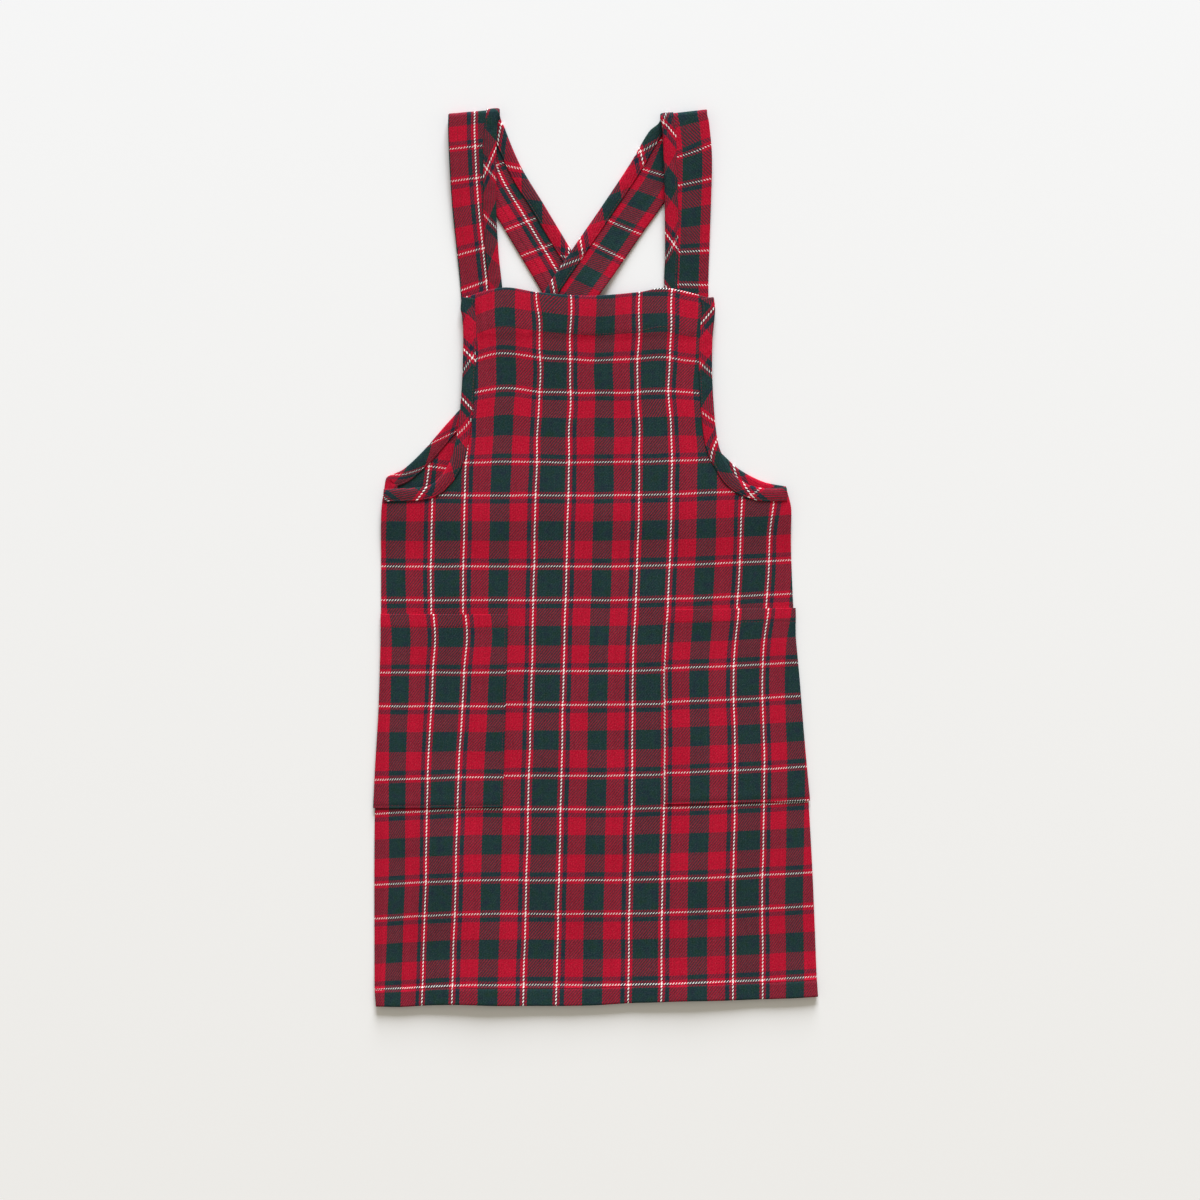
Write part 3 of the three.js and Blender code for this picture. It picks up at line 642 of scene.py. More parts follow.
def front_panel(finish):
    """Skirt and bib in one cut: skirt rows run straight, bib rows bend round the armholes."""
    left, right = front_edges()
    bib = rows_at(BIB_ROWS, left["places"])
    set_edge(bib, "left", left)
    set_edge(bib, "right", right)
    skirt, from_hem = rows_from_hem(SKIRT_ROWS, bib, "mid_y", FRONT_STEP)
    rows = joined(skirt, bib)
    last = len(BIB_ROWS["mid_y"]) - 1
    top_share = ease(last - TOP_WAVE_ROWS, last, left["places"])
    top_share = np.concatenate([np.zeros(len(from_hem)), top_share])[:, None]
    bound = np.concatenate([np.zeros(len(from_hem)), np.ones(len(left["places"]))])[:, None]
    hem_distance = np.concatenate([from_hem, np.full(len(left["places"]), FAR)])[:, None]

    wide = rows["right_x"][0] - rows["left_x"][0]
    share = (spread(wide, FRONT_STEP) / wide)[None, :]
    rows = {name: column[:, None] for name, column in rows.items()}
    side_y = rows["left_y"] + (rows["right_y"] - rows["left_y"]) * share
    lift = column_at(BIB_TOP["at"], BIB_TOP["lift"], share)
    x = rows["left_x"] + (rows["right_x"] - rows["left_x"]) * share
    y = rows["mid_y"] + (side_y - rows["mid_y"]) * (2 * share - 1) ** 2 + top_share * lift
    hem_wave = column_at(HEM_EDGE["at"], HEM_EDGE["lift"], share)
    hem_wave = hem_wave + HEM_UNEVENNESS * pucker(x / HEM_UNEVEN_STRETCH)
    y = y + hem_wave * (1 - ease(0, HEM_EDGE_REACH, hem_distance))
    from_side = np.minimum(share, 1 - share) * (rows["right_x"] - rows["left_x"])
    from_top = y[-1] - y

    seam_turn = np.clip(1 - from_side / SEAM_ROLL, 0, 1) ** 2 * (1 - bound)
    facing_groove = bell(from_top, FACING_STITCH, FRONT_GROOVE_WIDTH) * bound
    groove = bell(hem_distance, HEM_STITCH, FRONT_GROOVE_WIDTH) + facing_groove
    facing_gather = FACING_PUCKER_SHARE * bell(from_top, FACING_STITCH, HEM_PUCKER_WIDTH) * bound
    gather = bell(hem_distance, HEM_STITCH, HEM_PUCKER_WIDTH) + facing_gather
    z = front_height(x, y) - SEAM_DROP * seam_turn + FRONT_PUCKER * pucker(x) * gather
    beside_binding = ease(BINDING_WIDTH, BINDING_WIDTH + BINDING_CLEAR, from_side)
    clear_of_binding = 1 - bound * (1 - beside_binding)
    above = HALF_CLOTH + (rows["layers"] - 1) * CLOTH * clear_of_binding
    above = above - FRONT_GROOVE * groove * clear_of_binding
    outer, inner = lying_faces(x, y, z, above)

    hem_row = nearest(from_hem, HEM_STITCH)
    inside = slice(HEM_STITCH_ENDS, -HEM_STITCH_ENDS)
    stitch_along(outer[hem_row, inside], (outer - inner)[hem_row, inside])
    between_bindings = from_side[-1] > BINDING_WIDTH + FACING_STITCH_GAP
    facing_row = np.argmin(np.abs(from_top - FACING_STITCH), axis=0)
    columns = np.arange(x.shape[1])
    facing = outer[facing_row, columns].copy()
    facing[:, 1] += (from_top - FACING_STITCH)[facing_row, columns]
    normal = (outer - inner)[facing_row, columns]
    stitch_along(facing[between_bindings], normal[between_bindings])
    return closed_cloth("front_panel_cloth", outer, inner, front_fabric(x, y), finish)


# How a pocket's check lies beside the front's: how far its rows lie lower, and shifts of its stripes to the
# right, as amounts with the depths below the mouth where they lie or fade
POCKET_ROWS_LOWER = {"left": 1.5, "right": -1.6}
LEFT_BOW, LEFT_BOW_DEPTH, LEFT_BOW_WIDTH = 2.6, 22.0, 26.0
LEFT_SHIFT, LEFT_SHIFT_FADE = 1.2, (60.0, 190.0)
RIGHT_PULL, RIGHT_PULL_DEPTH = 3.0, 26.0


def pocket_fabric(side, x, y, down, across):
    """Fabric coordinates of a pocket, close to those of the front behind it."""
    if side == "left":
        bow = LEFT_BOW * bell(down, LEFT_BOW_DEPTH, LEFT_BOW_WIDTH)
        shift = bow + LEFT_SHIFT * (1 - ease(*LEFT_SHIFT_FADE, down))
    else:
        shift = RIGHT_PULL * bell(down, 0, RIGHT_PULL_DEPTH) * (1 - across)
    return front_fabric(x - shift, y + POCKET_ROWS_LOWER[side])


def pocket(side, finish):
    """Patch pocket: turned hem at its mouth, edges turned under, outer edge caught in the side seam."""
    shape = POCKETS[side]
    depth = shape["outer_top"] - shape["outer_bottom"]
    drop = spread(depth, POCKET_STEP, seams=(POCKET_MOUTH_STITCH, depth - POCKET_EDGE_STITCH))
    share = drop / depth
    outer_y = shape["outer_top"] - drop
    outer_x = column_at(SKIRT_ROWS["left_y"], SKIRT_ROWS[f"{side}_x"], outer_y)
    outer_x = outer_x - HANDED[side] * POCKET_OVERHANG * share ** 4
    outer_x = outer_x - HANDED[side] * shape["mouth_out"] * bell(drop, 0, POCKET_MOUTH_OUT)
    (top_x, top_y), (bottom_x, bottom_y) = shape["top"], shape["bottom"]
    inner_x = top_x + (bottom_x - top_x) * share
    inner_y = top_y + (bottom_y - top_y) * share
    wide = abs(outer_x[0] - inner_x[0])
    over = spread(wide, POCKET_STEP, seams=(wide - POCKET_EDGE_STITCH,))
    across = (over / wide)[None, :]
    x = outer_x[:, None] + (inner_x - outer_x)[:, None] * across
    y = outer_y[:, None] + (inner_y - outer_y)[:, None] * across
    down = np.broadcast_to(drop[:, None], x.shape)
    from_seam = np.broadcast_to(across * wide, x.shape)
    from_inner = wide - from_seam
    from_bottom = depth - down

    def beside_edge_stitch(width):
        """Bells across the stitch lines along the inner edge and along the bottom."""
        return (
            bell(from_inner, POCKET_EDGE_STITCH, width),
            bell(from_bottom, POCKET_EDGE_STITCH, width),
        )

    slack = POCKET_SLACK * bell(down, 0, POCKET_SLACK_DEPTH) * np.sin(math.pi * across) ** 2
    sewn = np.maximum(*beside_edge_stitch(POCKET_SEWN_WIDTH))
    seam_turn = np.clip(1 - from_seam / SEAM_ROLL, 0, 1) ** 2
    inner_gather, bottom_gather = beside_edge_stitch(EDGE_PUCKER_WIDTH)
    gather = inner_gather * pucker(down + POCKET_EDGE_START) + bottom_gather * pucker(x)
    mouth_gather = bell(down, POCKET_MOUTH_STITCH, HEM_PUCKER_WIDTH)
    gather = gather + mouth_gather * pucker(x + POCKET_MOUTH_START)
    sink = bell(from_bottom, 0, POCKET_BOTTOM_SINK) + bell(down, 0, POCKET_MOUTH_SINK)
    z = front_height(x, y) + POCKET_LIFT + slack - SEAM_DROP * seam_turn
    z = z + POCKET_PUCKER * gather - POCKET_SINK * sink
    under = 1 - ease(POCKET_TURN, POCKET_TURN + HEM_RAMP, np.minimum(from_inner, from_bottom))
    mouth = 1 - ease(POCKET_HEM, POCKET_HEM + POCKET_HEM_RAMP, down)
    raised = np.maximum(POCKET_HEM_STEP * mouth, POCKET_TURN_STEP * under)
    groove = np.maximum(*beside_edge_stitch(GROOVE_WIDTH))
    groove = np.maximum(groove, bell(down, POCKET_MOUTH_STITCH, GROOVE_WIDTH))
    above = HALF_CLOTH + raised - POCKET_SEWN_DROP * sewn - POCKET_GROOVE * groove
    outer, inner = lying_faces(x, y, z, above)

    normal = outer - inner
    mouth_row = nearest(drop, POCKET_MOUTH_STITCH)
    bottom_row = nearest(drop, depth - POCKET_EDGE_STITCH)
    edge_column = nearest(over, wide - POCKET_EDGE_STITCH)
    along_mouth = slice(STITCH_ENDS, -STITCH_ENDS)
    along_bottom = slice(STITCH_ENDS, edge_column + 1)
    along_edge = slice(STITCH_ENDS, bottom_row + 1)
    stitch_along(outer[mouth_row, along_mouth], normal[mouth_row, along_mouth])
    stitch_along(outer[bottom_row, along_bottom], normal[bottom_row, along_bottom])
    stitch_along(outer[along_edge, edge_column], normal[along_edge, edge_column])
    fabric = pocket_fabric(side, x, y, down, across)
    return closed_cloth(f"pocket_{side}_cloth", outer, inner, fabric, finish, PRESSED_EDGE)


def distance_to_edge(edge, x, y):
    """Distance of places on the table from an edge."""
    best = np.full(x.shape, np.inf)
    for (ax, ay, _), (bx, by, _) in zip(edge[:-1], edge[1:]):
        length = (bx - ax) ** 2 + (by - ay) ** 2
        t = np.clip(((x - ax) * (bx - ax) + (y - ay) * (by - ay)) / length, 0, 1)
        best = np.minimum(best, np.hypot(x - ax - t * (bx - ax), y - ay - t * (by - ay)))
    return best


def back_edge(side):
    """Bound armhole edge of a back panel."""
    return bound_edge(BACK_ARMHOLE_ROWS[side], "side", HANDED[side], BINDING_STEP)


# How the check lies on the inner faces of the back panels: place of a crossing of white lines, and turn
BACK_CHECKS = {"left": (-165.3, 91.6, -8), "right": (150, 60, 6)}
WHITE_FROM_MIDDLE_X = 16.5  # from the middle of the wide green to the white line beside it
WHITE_FROM_MIDDLE_Y = 16.9


def back_panel(side, finish):
    """Back panel under the front, risen where its armhole edge is bound."""
    edge = back_edge(side)
    armhole = rows_at(BACK_ARMHOLE_ROWS[side], edge["places"])
    set_edge(armhole, "side", edge)
    skirt, _ = rows_from_hem(BACK_SKIRT_ROWS[side], armhole, "side_y", BACK_STEP)
    rows = {name: column[:, None] for name, column in joined(skirt, armhole).items()}
    to_back_x = rows["back_x"] - rows["side_x"]
    to_back_y = rows["back_y"] - rows["side_y"]
    wide = abs(to_back_x[0, 0])
    share = (spread(wide, BACK_STEP, seams=(wide - STRAP_STITCH,)) / wide)[None, :]
    x = rows["side_x"] + to_back_x * share
    y = rows["side_y"] + to_back_y * share
    from_back = (1 - share) * np.hypot(to_back_x, to_back_y)
    from_edge = distance_to_edge(edge["finished"], x, y) - BINDING_WIDTH - ARMHOLE_LEVEL
    z = HALF_CLOTH + (BINDING_HALF - HALF_CLOTH) * (1 - ease(0, ARMHOLE_RISE, from_edge))
    hem = 1 - ease(STRAP_HEM, STRAP_HEM + HEM_RAMP, from_back)
    hem = hem * ease(0, BACK_HEM_FADE, from_edge)
    above = HALF_CLOTH + CLOTH * np.maximum(hem, rows["layers"] - 1)
    outer, inner = lying_faces(x, y, z, above)

    cross_x, cross_y, turn = BACK_CHECKS[side]
    u, v = turned(x - cross_x, y - cross_y, turn)
    fabric = np.stack([u + WHITE_FROM_MIDDLE_X, v + WHITE_FROM_MIDDLE_Y], axis=-1)
    return closed_cloth(f"back_panel_{side}_cloth", outer, inner, fabric, finish)


def strap_sections(side):
    """Finished outer and neck edges of a strap along its way, with the shoulder fold, and their lengths."""
    rows = STRAP_ROWS[side]
    angle = np.linspace(0, math.pi, FOLD_STEPS + 1)
    fold = np.zeros((len(angle), 3))
    fold[:, 1] = -SHOULDER_RADIUS * (1 - np.sin(angle))
    fold[:, 2] = SHOULDER_RADIUS * (1 + np.cos(angle))
    edges = []
    for name in ("outer", "neck"):
        line = np.stack([rows[f"{name}_{axis}"] for axis in "xyz"], axis=1)
        edges.append(np.concatenate([line[:FOLD_ROW], line[FOLD_ROW] + fold, line[FOLD_ROW + 1:]]))
    lengths = lengths_along((edges[0] + edges[1]) / 2)
    crest = lengths[FOLD_ROW + FOLD_STEPS // 2]
    marks = spread(lengths[-1], STRAP_STEP)
    marks = np.unique(np.concatenate([marks, lengths[FOLD_ROW:FOLD_ROW + FOLD_STEPS + 1]]))
    gap = np.concatenate([[FAR], np.diff(marks)])
    marks = marks[gap > FOLD_SPACE]
    outer, neck = (
        np.stack([column_at(lengths, edge[:, axis], marks) for axis in range(3)], axis=1) for edge in edges
    )
    return {"outer": outer, "neck": neck, "lengths": marks, "crest": crest}


def strap_frames(side):
    """Frames along a strap's neck edge: the way into the cloth and the way up from its outer face."""
    sections = strap_sections(side)
    into = unit(sections["outer"] - sections["neck"])
    way = np.gradient(sections["neck"], axis=0)
    return sections, into, unit(np.cross(way, into)) * HANDED[side]


# How the check lies along the straps, by the distance past the shoulder's crest: middle of a wide green
# stripe from the outer edge, count of the wide green rows at the outer edge, and how far the rows slant
STRAP_CHECKS = {
    "left": {
        "middles": ((0, 42.3), (60, 39.7)),
        "rows": ((-162.5, -1), (-54.5, 0), (134.8, 2)),
        "slants": ((-180, 0.34), (-35, 0.08), (0, 0.0), (40, 0.17), (200, 0.18)),
    },
    "right": {
        "middles": ((0, -32.1), (60, -32.1)),
        "rows": ((-156.8, -1), (-50.9, 0), (140.5, 2)),
        "slants": (
            (-174, 0.0),
            (-140, -0.06),
            (-73, -0.24),
            (-40, -0.38),
            (0, 0.0),
            (60, 0.35),
            (120, 0.32),
            (170, 0.17),
        ),
    },
}


def strap_fabric(side, from_crest, from_outer):
    """Fabric coordinates of a strap by the distance past its shoulder's crest and from its outer edge."""
    check = {name: np.array(pairs, float).T for name, pairs in STRAP_CHECKS[side].items()}
    places, counts = check["rows"]
    slanted = from_crest - np.interp(from_crest, *check["slants"]) * from_outer
    before = (counts[1] - counts[0]) / (places[1] - places[0])
    after = (counts[-1] - counts[-2]) / (places[-1] - places[-2])
    v = np.interp(slanted, places, counts)
    v = v + np.minimum(slanted - places[0], 0) * before + np.maximum(slanted - places[-1], 0) * after
    u = from_outer - np.interp(from_crest, *check["middles"])
    return np.stack([u, v * WEFT_REPEAT], axis=-1)


def strap(side, finish):
    """Strap of one layer with a turned hem along its outer edge, on its inner face."""
    sections, into, up = strap_frames(side)
    wide = np.linalg.norm(sections["outer"] - sections["neck"], axis=1)
    usual = float(np.median(wide)) - EDGE_INSET
    over = spread(usual, STRAP_STEP, seams=(usual - STRAP_STITCH,))
    depth = EDGE_INSET + (wide[:, None] - EDGE_INSET) * (over / usual)[None, :]
    from_outer = wide[:, None] - depth
    along = sections["lengths"][:, None]
    beside_stitch = bell(from_outer, STRAP_STITCH, EDGE_PUCKER_WIDTH)
    gather = STRAP_PUCKER * pucker(along + STRAP_START) * beside_stitch
    groove = STRAP_GROOVE * bell(from_outer, STRAP_STITCH, GROOVE_WIDTH)
    middle = sections["neck"][:, None] + into[:, None] * depth[..., None] + up[:, None] * gather[..., None]
    hem = 1 - ease(STRAP_HEM, STRAP_HEM + HEM_RAMP, from_outer)
    outer = middle + up[:, None] * (HALF_CLOTH - groove)[..., None]
    inner = middle - up[:, None] * (HALF_CLOTH + CLOTH * hem - groove)[..., None]

    column = nearest(over, usual - STRAP_STITCH)
    inside = slice(STITCH_ENDS, -STITCH_ENDS)
    normal = outer - inner
    stitch_along(outer[inside, column], normal[inside, column])
    stitch_along(inner[inside, column], -normal[inside, column])
    fabric = strap_fabric(side, along - sections["crest"], from_outer)
    return closed_cloth(f"strap_{side}_cloth", outer, inner, fabric, finish)


# Section of a folded binding from its upper edge to its fold: depth into the cloth, outer and inner height
BINDING_SECTION = table(
    "depth outer inner_depth inner",
    (13.0, 1.32, 13.0, 0.8),
    (12.75, 1.6, 12.75, 0.8),
    (12.3, 1.72, 12.3, 0.8),
    (11.9, 1.66, 11.9, 0.8),
    (11.3, 1.46, 11.3, 0.8),
    (10.7, 1.66, 10.7, 0.8),
    (9.6, 1.82, 9.6, 0.8),
    (7.5, 1.92, 7.5, 0.8),
    (5.0, 1.97, 5.0, 0.8),
    (3.0, 1.92, 3.0, 0.8),
    (1.5, 1.7, 1.7, 0.8),
    (0.5, 1.15, 1.2, 0.65),
    (0.05, 0.5, 1.02, 0.35),
    (0.0, 0.0, 1.0, 0.0),
)

# How the check lies along the bias strips: for each run from low to high, the turn of the fabric, its
# stretch along the strip and squeeze across it, the shear that stretches its stripes more than its rows,
# and its place in the check at one length
BIAS_COLUMNS = "low high at turn stretch squeeze shear u v"
BIAS_CHECKS = {
    "armhole_left": table(
        BIAS_COLUMNS,
        (0, 105, 60, 40, 1.04, 1, 1, 37.5, 50.5),
        (125, 260, 185, 38, 1.18, 1, 1, 20.5, 15),
    ),
    "armhole_right": table(
        BIAS_COLUMNS,
        (0, 105, 60, 52, 0.97, 1, 1, 4.5, 36.5),
        (125, 260, 185, 52, 1.13, 1, 1, 73.5, 25.5),
    ),
    "neck_left": table(
        BIAS_COLUMNS,
        (0, 205, 133.5, 55, 1.19, 1.35, 1, 83.2, 2.0),
        (232, 480, 326, 54, 1.19, 1, 1, 77, 42),
        (590, 720, 640, 45, 1.18, 1, 1, 24, 40),
    ),
    "neck_right": table(
        BIAS_COLUMNS,
        (0, 205, 133.5, 40.5, 1.21, 1.25, 1, 55.4, 42.4),
        (232, 480, 346, 39, 1.2, 1, 1, 87, 53),
        (555, 700, 630, 33.5, 0.79, 1.9, 2.04, 67.5, -27.2),
    ),
}
BINDING_GIRTH = 13.6  # half of the strip, from its edge to its fold


def bias_fabric(check, along, across):
    """Fabric coordinates of a bias strip by length along it and across it."""
    repeats = (WARP_REPEAT, WEFT_REPEAT)
    mixed = None
    for k, turn in enumerate(np.radians(check["turn"])):
        run = (along - check["at"][k]) / check["stretch"][k]
        over = across * check["squeeze"][k]
        u = math.cos(turn) * run / check["shear"][k] - math.sin(turn) * over + check["u"][k]
        v = math.sin(turn) * run + math.cos(turn) * over + check["v"][k]
        if mixed is None:
            mixed = [u, v]
            continue
        join = (check["high"][k - 1] + check["low"][k]) / 2
        row = nearest(along[:, 0], join)
        share = ease(check["high"][k - 1], check["low"][k], along)
        for axis, (new, repeat) in enumerate(zip((u, v), repeats)):
            whole = np.round((mixed[axis][row, 0] - new[row, 0]) / repeat)
            mixed[axis] = mixed[axis] + (new + whole * repeat - mixed[axis]) * share
    return np.stack(mixed, axis=-1)


def both_sides(column, sign):
    """A column of the binding's section from its upper edge to its fold and on to its lower edge."""
    return np.concatenate([column, sign * column[-2::-1]])


def folded_binding(name, point, into, up, check, finish):
    """Bias binding folded over an edge, swept along its frames."""
    section = BINDING_SECTION
    depth = both_sides(section["depth"], 1)
    height = both_sides(section["outer"], -1)
    slot_depth = both_sides(section["inner_depth"], 1)
    slot_height = both_sides(section["inner"], -1)
    along = lengths_along(point)[:, None]
    puffed = np.sign(height) * np.clip(np.abs(height) - BINDING_SLOT, 0, None)
    gather = pucker(along * BINDING_PUCKER_RATE + BINDING_PUCKER_SLANT * depth)
    height = height + BINDING_PUCKER * gather * puffed
    outer = point[:, None] + into[:, None] * depth[None, :, None] + up[:, None] * height[..., None]
    inner = point[:, None] + into[:, None] * slot_depth[None, :, None]
    inner = inner + up[:, None] * np.broadcast_to(slot_height, height.shape)[..., None]

    upper_half = np.arange(len(depth)) < len(section["depth"])
    across = BINDING_GIRTH + np.where(upper_half, -depth, depth)
    fabric = bias_fabric(check, along, across[None, :])

    upper = nearest(section["depth"], BINDING_STITCH)
    lower = len(depth) - 1 - upper
    inside = slice(STITCH_ENDS, -STITCH_ENDS)
    stitch_along(outer[inside, upper], up[inside])
    stitch_along(outer[inside, lower], -up[inside])
    return closed_cloth(name, outer, inner, fabric, finish)


def armhole_binding(side, finish):
    """Binding of the bib's side and front armhole, from the side seam up to the bib's top."""
    edge = dict(zip(("left", "right"), front_edges()))[side]
    way = unit(np.gradient(edge["finished"], axis=0))
    point = on_front(edge["finished"])
    into = unit(on_front(edge["finished"] + edge["inward"] * BINDING_WIDTH) - point)
    up = unit(np.cross(into, way)) * HANDED[side]
    check = BIAS_CHECKS[f"armhole_{side}"]
    return folded_binding(f"armhole_binding_{side}_tape", point, into, up, check, finish)


def neck_binding(side, finish):
    """Binding of a strap's neck edge, running on round the armhole of the back panel it is sewn to."""
    sections, into, up = strap_frames(side)
    edge = back_edge("right" if side == "left" else "left")
    from_seam = slice(-1 - SEAM_POINTS, None, -1)
    round_points = edge["finished"][from_seam].copy()
    round_points[:, 2] = BINDING_HALF
    point = np.concatenate([sections["neck"], round_points])
    into = np.concatenate([into, edge["inward"][from_seam]])
    up = np.concatenate([up, np.tile(-UP, (len(round_points), 1))])
    check = BIAS_CHECKS[f"neck_{side}"]
    return folded_binding(f"neck_binding_{side}_tape", point, into, up, check, finish)


class Nodes:
    """Short ways to build a node tree."""

    def __init__(self, tree):
        self.tree = tree

    def add(self, kind, **settings):
        node = self.tree.nodes.new(kind)
        for name, value in settings.items():
            setattr(node, name, value)
        return node

    def link(self, source, target):
        self.tree.links.new(source, target)

    def feed(self, socket, value):
        if isinstance(value, bpy.types.NodeSocket):
            self.link(value, socket)
        else:
            socket.default_value = value

    def math(self, operation, first, second=0.0, third=0.0):
        node = self.add("ShaderNodeMath", operation=operation)
        for socket, value in zip(node.inputs, (first, second, third)):
            self.feed(socket, value)
        return node.outputs[0]

    def blend(self, factor, first, second, kind="MIX"):
        node = self.add("ShaderNodeMix", data_type="RGBA", blend_type=kind)
        self.feed(node.inputs["Factor"], factor)
        self.feed(node.inputs[6], first)
        self.feed(node.inputs[7], second)
        return node.outputs[2]

    def between(self, factor, first, second):
        node = self.add("ShaderNodeMix", data_type="FLOAT")
        self.feed(node.inputs["Factor"], factor)
        self.feed(node.inputs[2], first)
        self.feed(node.inputs[3], second)
        return node.outputs[0]

    def parts(self, colour):
        node = self.add("ShaderNodeSeparateColor")
        self.link(colour, node.inputs[0])
        return node.outputs

    def noise(self, place, scale, detail):
        node = self.add("ShaderNodeTexNoise", noise_dimensions="3D")
        node.inputs["Scale"].default_value = scale
        node.inputs["Detail"].default_value = detail
        self.link(place, node.inputs["Vector"])
        return node.outputs[0]

    def yarn_noise(self, number):
        node = self.add("ShaderNodeTexWhiteNoise", noise_dimensions="1D")
        self.link(number, node.inputs["W"])
        return node.outputs[0]

    def bump(self, height, strength, distance):
        node = self.add("ShaderNodeBump")
        node.inputs["Strength"].default_value = strength
        node.inputs["Distance"].default_value = distance
        self.link(height, node.inputs["Height"])
        return node.outputs[0]


def new_material(name):
    """A material with a Principled shader, and the short ways to build its nodes."""
    material = bpy.data.materials.new(name)
    material.use_nodes = True
    nodes = Nodes(material.node_tree)
    return material, nodes, material.node_tree.nodes["Principled BSDF"]


# Weave of the cloth
TWILL = 2.0  # yarns that a yarn passes over, and then under
WARP_FLOAT = 1.36  # half of a warp yarn's float, in picks
WHITE_WARP_SHORT = 0.24  # how much shorter the floats of the white yarns show, in picks
WHITE_WEFT_SHORT = 0.12
CROSS_TINT = 0.4  # how much one dyed yarn tints another that it crosses, by light passing between them
PICK_OFFSET = 5000.5  # keeps the picks' tones apart from those of the ends
YARN_ROUNDING = 0.45  # shares of a yarn's height, across it and along its float
FLOAT_ROUNDING = 0.55

# Noise over the cloth and the thread: scale for a metre, and detail
FIBRES = (2600.0, 2.0)
# specks of pale fibre ends, which are also painted sheen
FUZZ_AND_SHEEN_SPECKS = (900.0, 1.0)
SLUBS = (620.0, 1.0)
NAP = (130.0, 4.0)
PATCHES = (14.0, 3.0)
TWIST = (2200.0, 2.0)

# How far the yarns, the weave's relief and the noise change the brightness of the cloth; the relief's part
# is painted shade
YARN_TONE = 0.2
# painted shade: the low parts of the weave, where yarns dip under their crossings, are darkened in the
# colour
RELIEF_SHADE = 0.75
RELIEF_MIDDLE = 0.6  # height in the weave that keeps its brightness
FIBRE_TONE = 0.55
SLUB_TONE = 0.9
NAP_TONE = 0.22
PATCH_TONE = 0.14

# Looks of the cloth and the thread
LINT_AND_SHEEN = 0.1  # pale fibre ends on the yarns, whose bright specks are also painted sheen
LINT_AND_SHEEN_COLOUR = (1.0, 0.96, 0.94, 1.0)
DARK_DYE = 0.1  # the green and navy dyes have less red than this
DYE_DRIFT = 0.35  # drift of the dark dyes between green and blue
FIBRE_RELIEF = 0.5
CLOTH_ROUGHNESS, NAP_ROUGHNESS = 0.84, 0.12
THREAD_DARK = (0.13, 0.008, 0.016, 1.0)
THREAD_LIGHT = (0.25, 0.016, 0.03, 1.0)
THREAD_ROUGHNESS, TWIST_ROUGHNESS = 0.6, 0.2


def yarn_colour(nodes, number, counts):
    """Colour of a yarn by its number, from the counts of half a repeat of the check."""
    half = float(sum(count for _, count in counts))
    place = nodes.math("PINGPONG", nodes.math("ADD", number, 0.5), half)
    ramp = nodes.add("ShaderNodeValToRGB")
    ramp.color_ramp.interpolation = "CONSTANT"
    start = 0
    for step, (yarn, count) in enumerate(counts):
        if step < 2:
            element = ramp.color_ramp.elements[step]
        else:
            element = ramp.color_ramp.elements.new(start / half)
        element.position = start / half
        element.color = (*YARN_COLOURS[yarn], 1.0)
        start += count
    nodes.link(nodes.math("DIVIDE", place, half), ramp.inputs[0])
    return ramp.outputs[0]


def off_middle(nodes, place):
    """Distance from the middle of the yarn at a place, where a yarn is 1 wide."""
    return nodes.math("ABSOLUTE", nodes.math("SUBTRACT", nodes.math("FRACT", place), 0.5))


def dome(nodes, place):
    """Rounded height, 1 at place 0 and 0 at place 1."""
    return nodes.math("SUBTRACT", 1.0, nodes.math("POWER", place, 2.0))


def weave(nodes, fabric):
    """Two-over-two twill: colour that shows, red of the yarn on top, that yarn's tone and its height."""
    split = nodes.add("ShaderNodeSeparateXYZ")
    nodes.link(fabric, split.inputs[0])
    warp = nodes.math("DIVIDE", split.outputs[0], WARP_PITCH * MM)
    weft = nodes.math("DIVIDE", split.outputs[1], WEFT_PITCH * MM)
    end = nodes.math("FLOOR", warp)
    pick = nodes.math("FLOOR", weft)
    along_warp = nodes.math("PINGPONG", nodes.math("SUBTRACT", weft, end), TWILL)
    stepped = nodes.math("ADD", nodes.math("SUBTRACT", warp, pick), 1.0)
    along_weft = nodes.math("PINGPONG", stepped, TWILL)

    warp_colour = yarn_colour(nodes, end, WARP_COUNTS)
    weft_colour = yarn_colour(nodes, pick, WEFT_COUNTS)
    float_half = nodes.math("MULTIPLY_ADD", nodes.parts(warp_colour)[1], -WHITE_WARP_SHORT, WARP_FLOAT)
    float_half = nodes.math("MULTIPLY_ADD", nodes.parts(weft_colour)[1], WHITE_WEFT_SHORT, float_half)
    warp_seen = nodes.math("LESS_THAN", along_warp, float_half)
    seen = nodes.blend(warp_seen, weft_colour, warp_colour)
    crossed = nodes.blend(warp_seen, warp_colour, weft_colour)
    both = nodes.add("ShaderNodeGamma")
    nodes.link(nodes.blend(1.0, warp_colour, weft_colour, "MULTIPLY"), both.inputs["Color"])
    both.inputs["Gamma"].default_value = 0.5
    seen_parts = nodes.parts(seen)
    paleness = nodes.math("MAXIMUM", seen_parts[1], nodes.parts(crossed)[1])
    tint = nodes.math("MULTIPLY_ADD", paleness, -CROSS_TINT, CROSS_TINT)
    colour = nodes.blend(tint, seen, both.outputs[0])

    pick_tone = nodes.yarn_noise(nodes.math("ADD", pick, PICK_OFFSET))
    tone = nodes.between(warp_seen, pick_tone, nodes.yarn_noise(end))
    across = nodes.between(warp_seen, off_middle(nodes, weft), off_middle(nodes, warp))
    rounded = dome(nodes, nodes.math("MULTIPLY", across, 2.0))
    run = nodes.between(warp_seen, along_weft, nodes.math("DIVIDE", along_warp, float_half))
    crown = dome(nodes, nodes.math("MINIMUM", run, 1.0))
    lifted = nodes.math("MULTIPLY", crown, FLOAT_ROUNDING)
    height = nodes.math("MULTIPLY_ADD", rounded, YARN_ROUNDING, lifted)
    return colour, seen_parts[0], tone, height


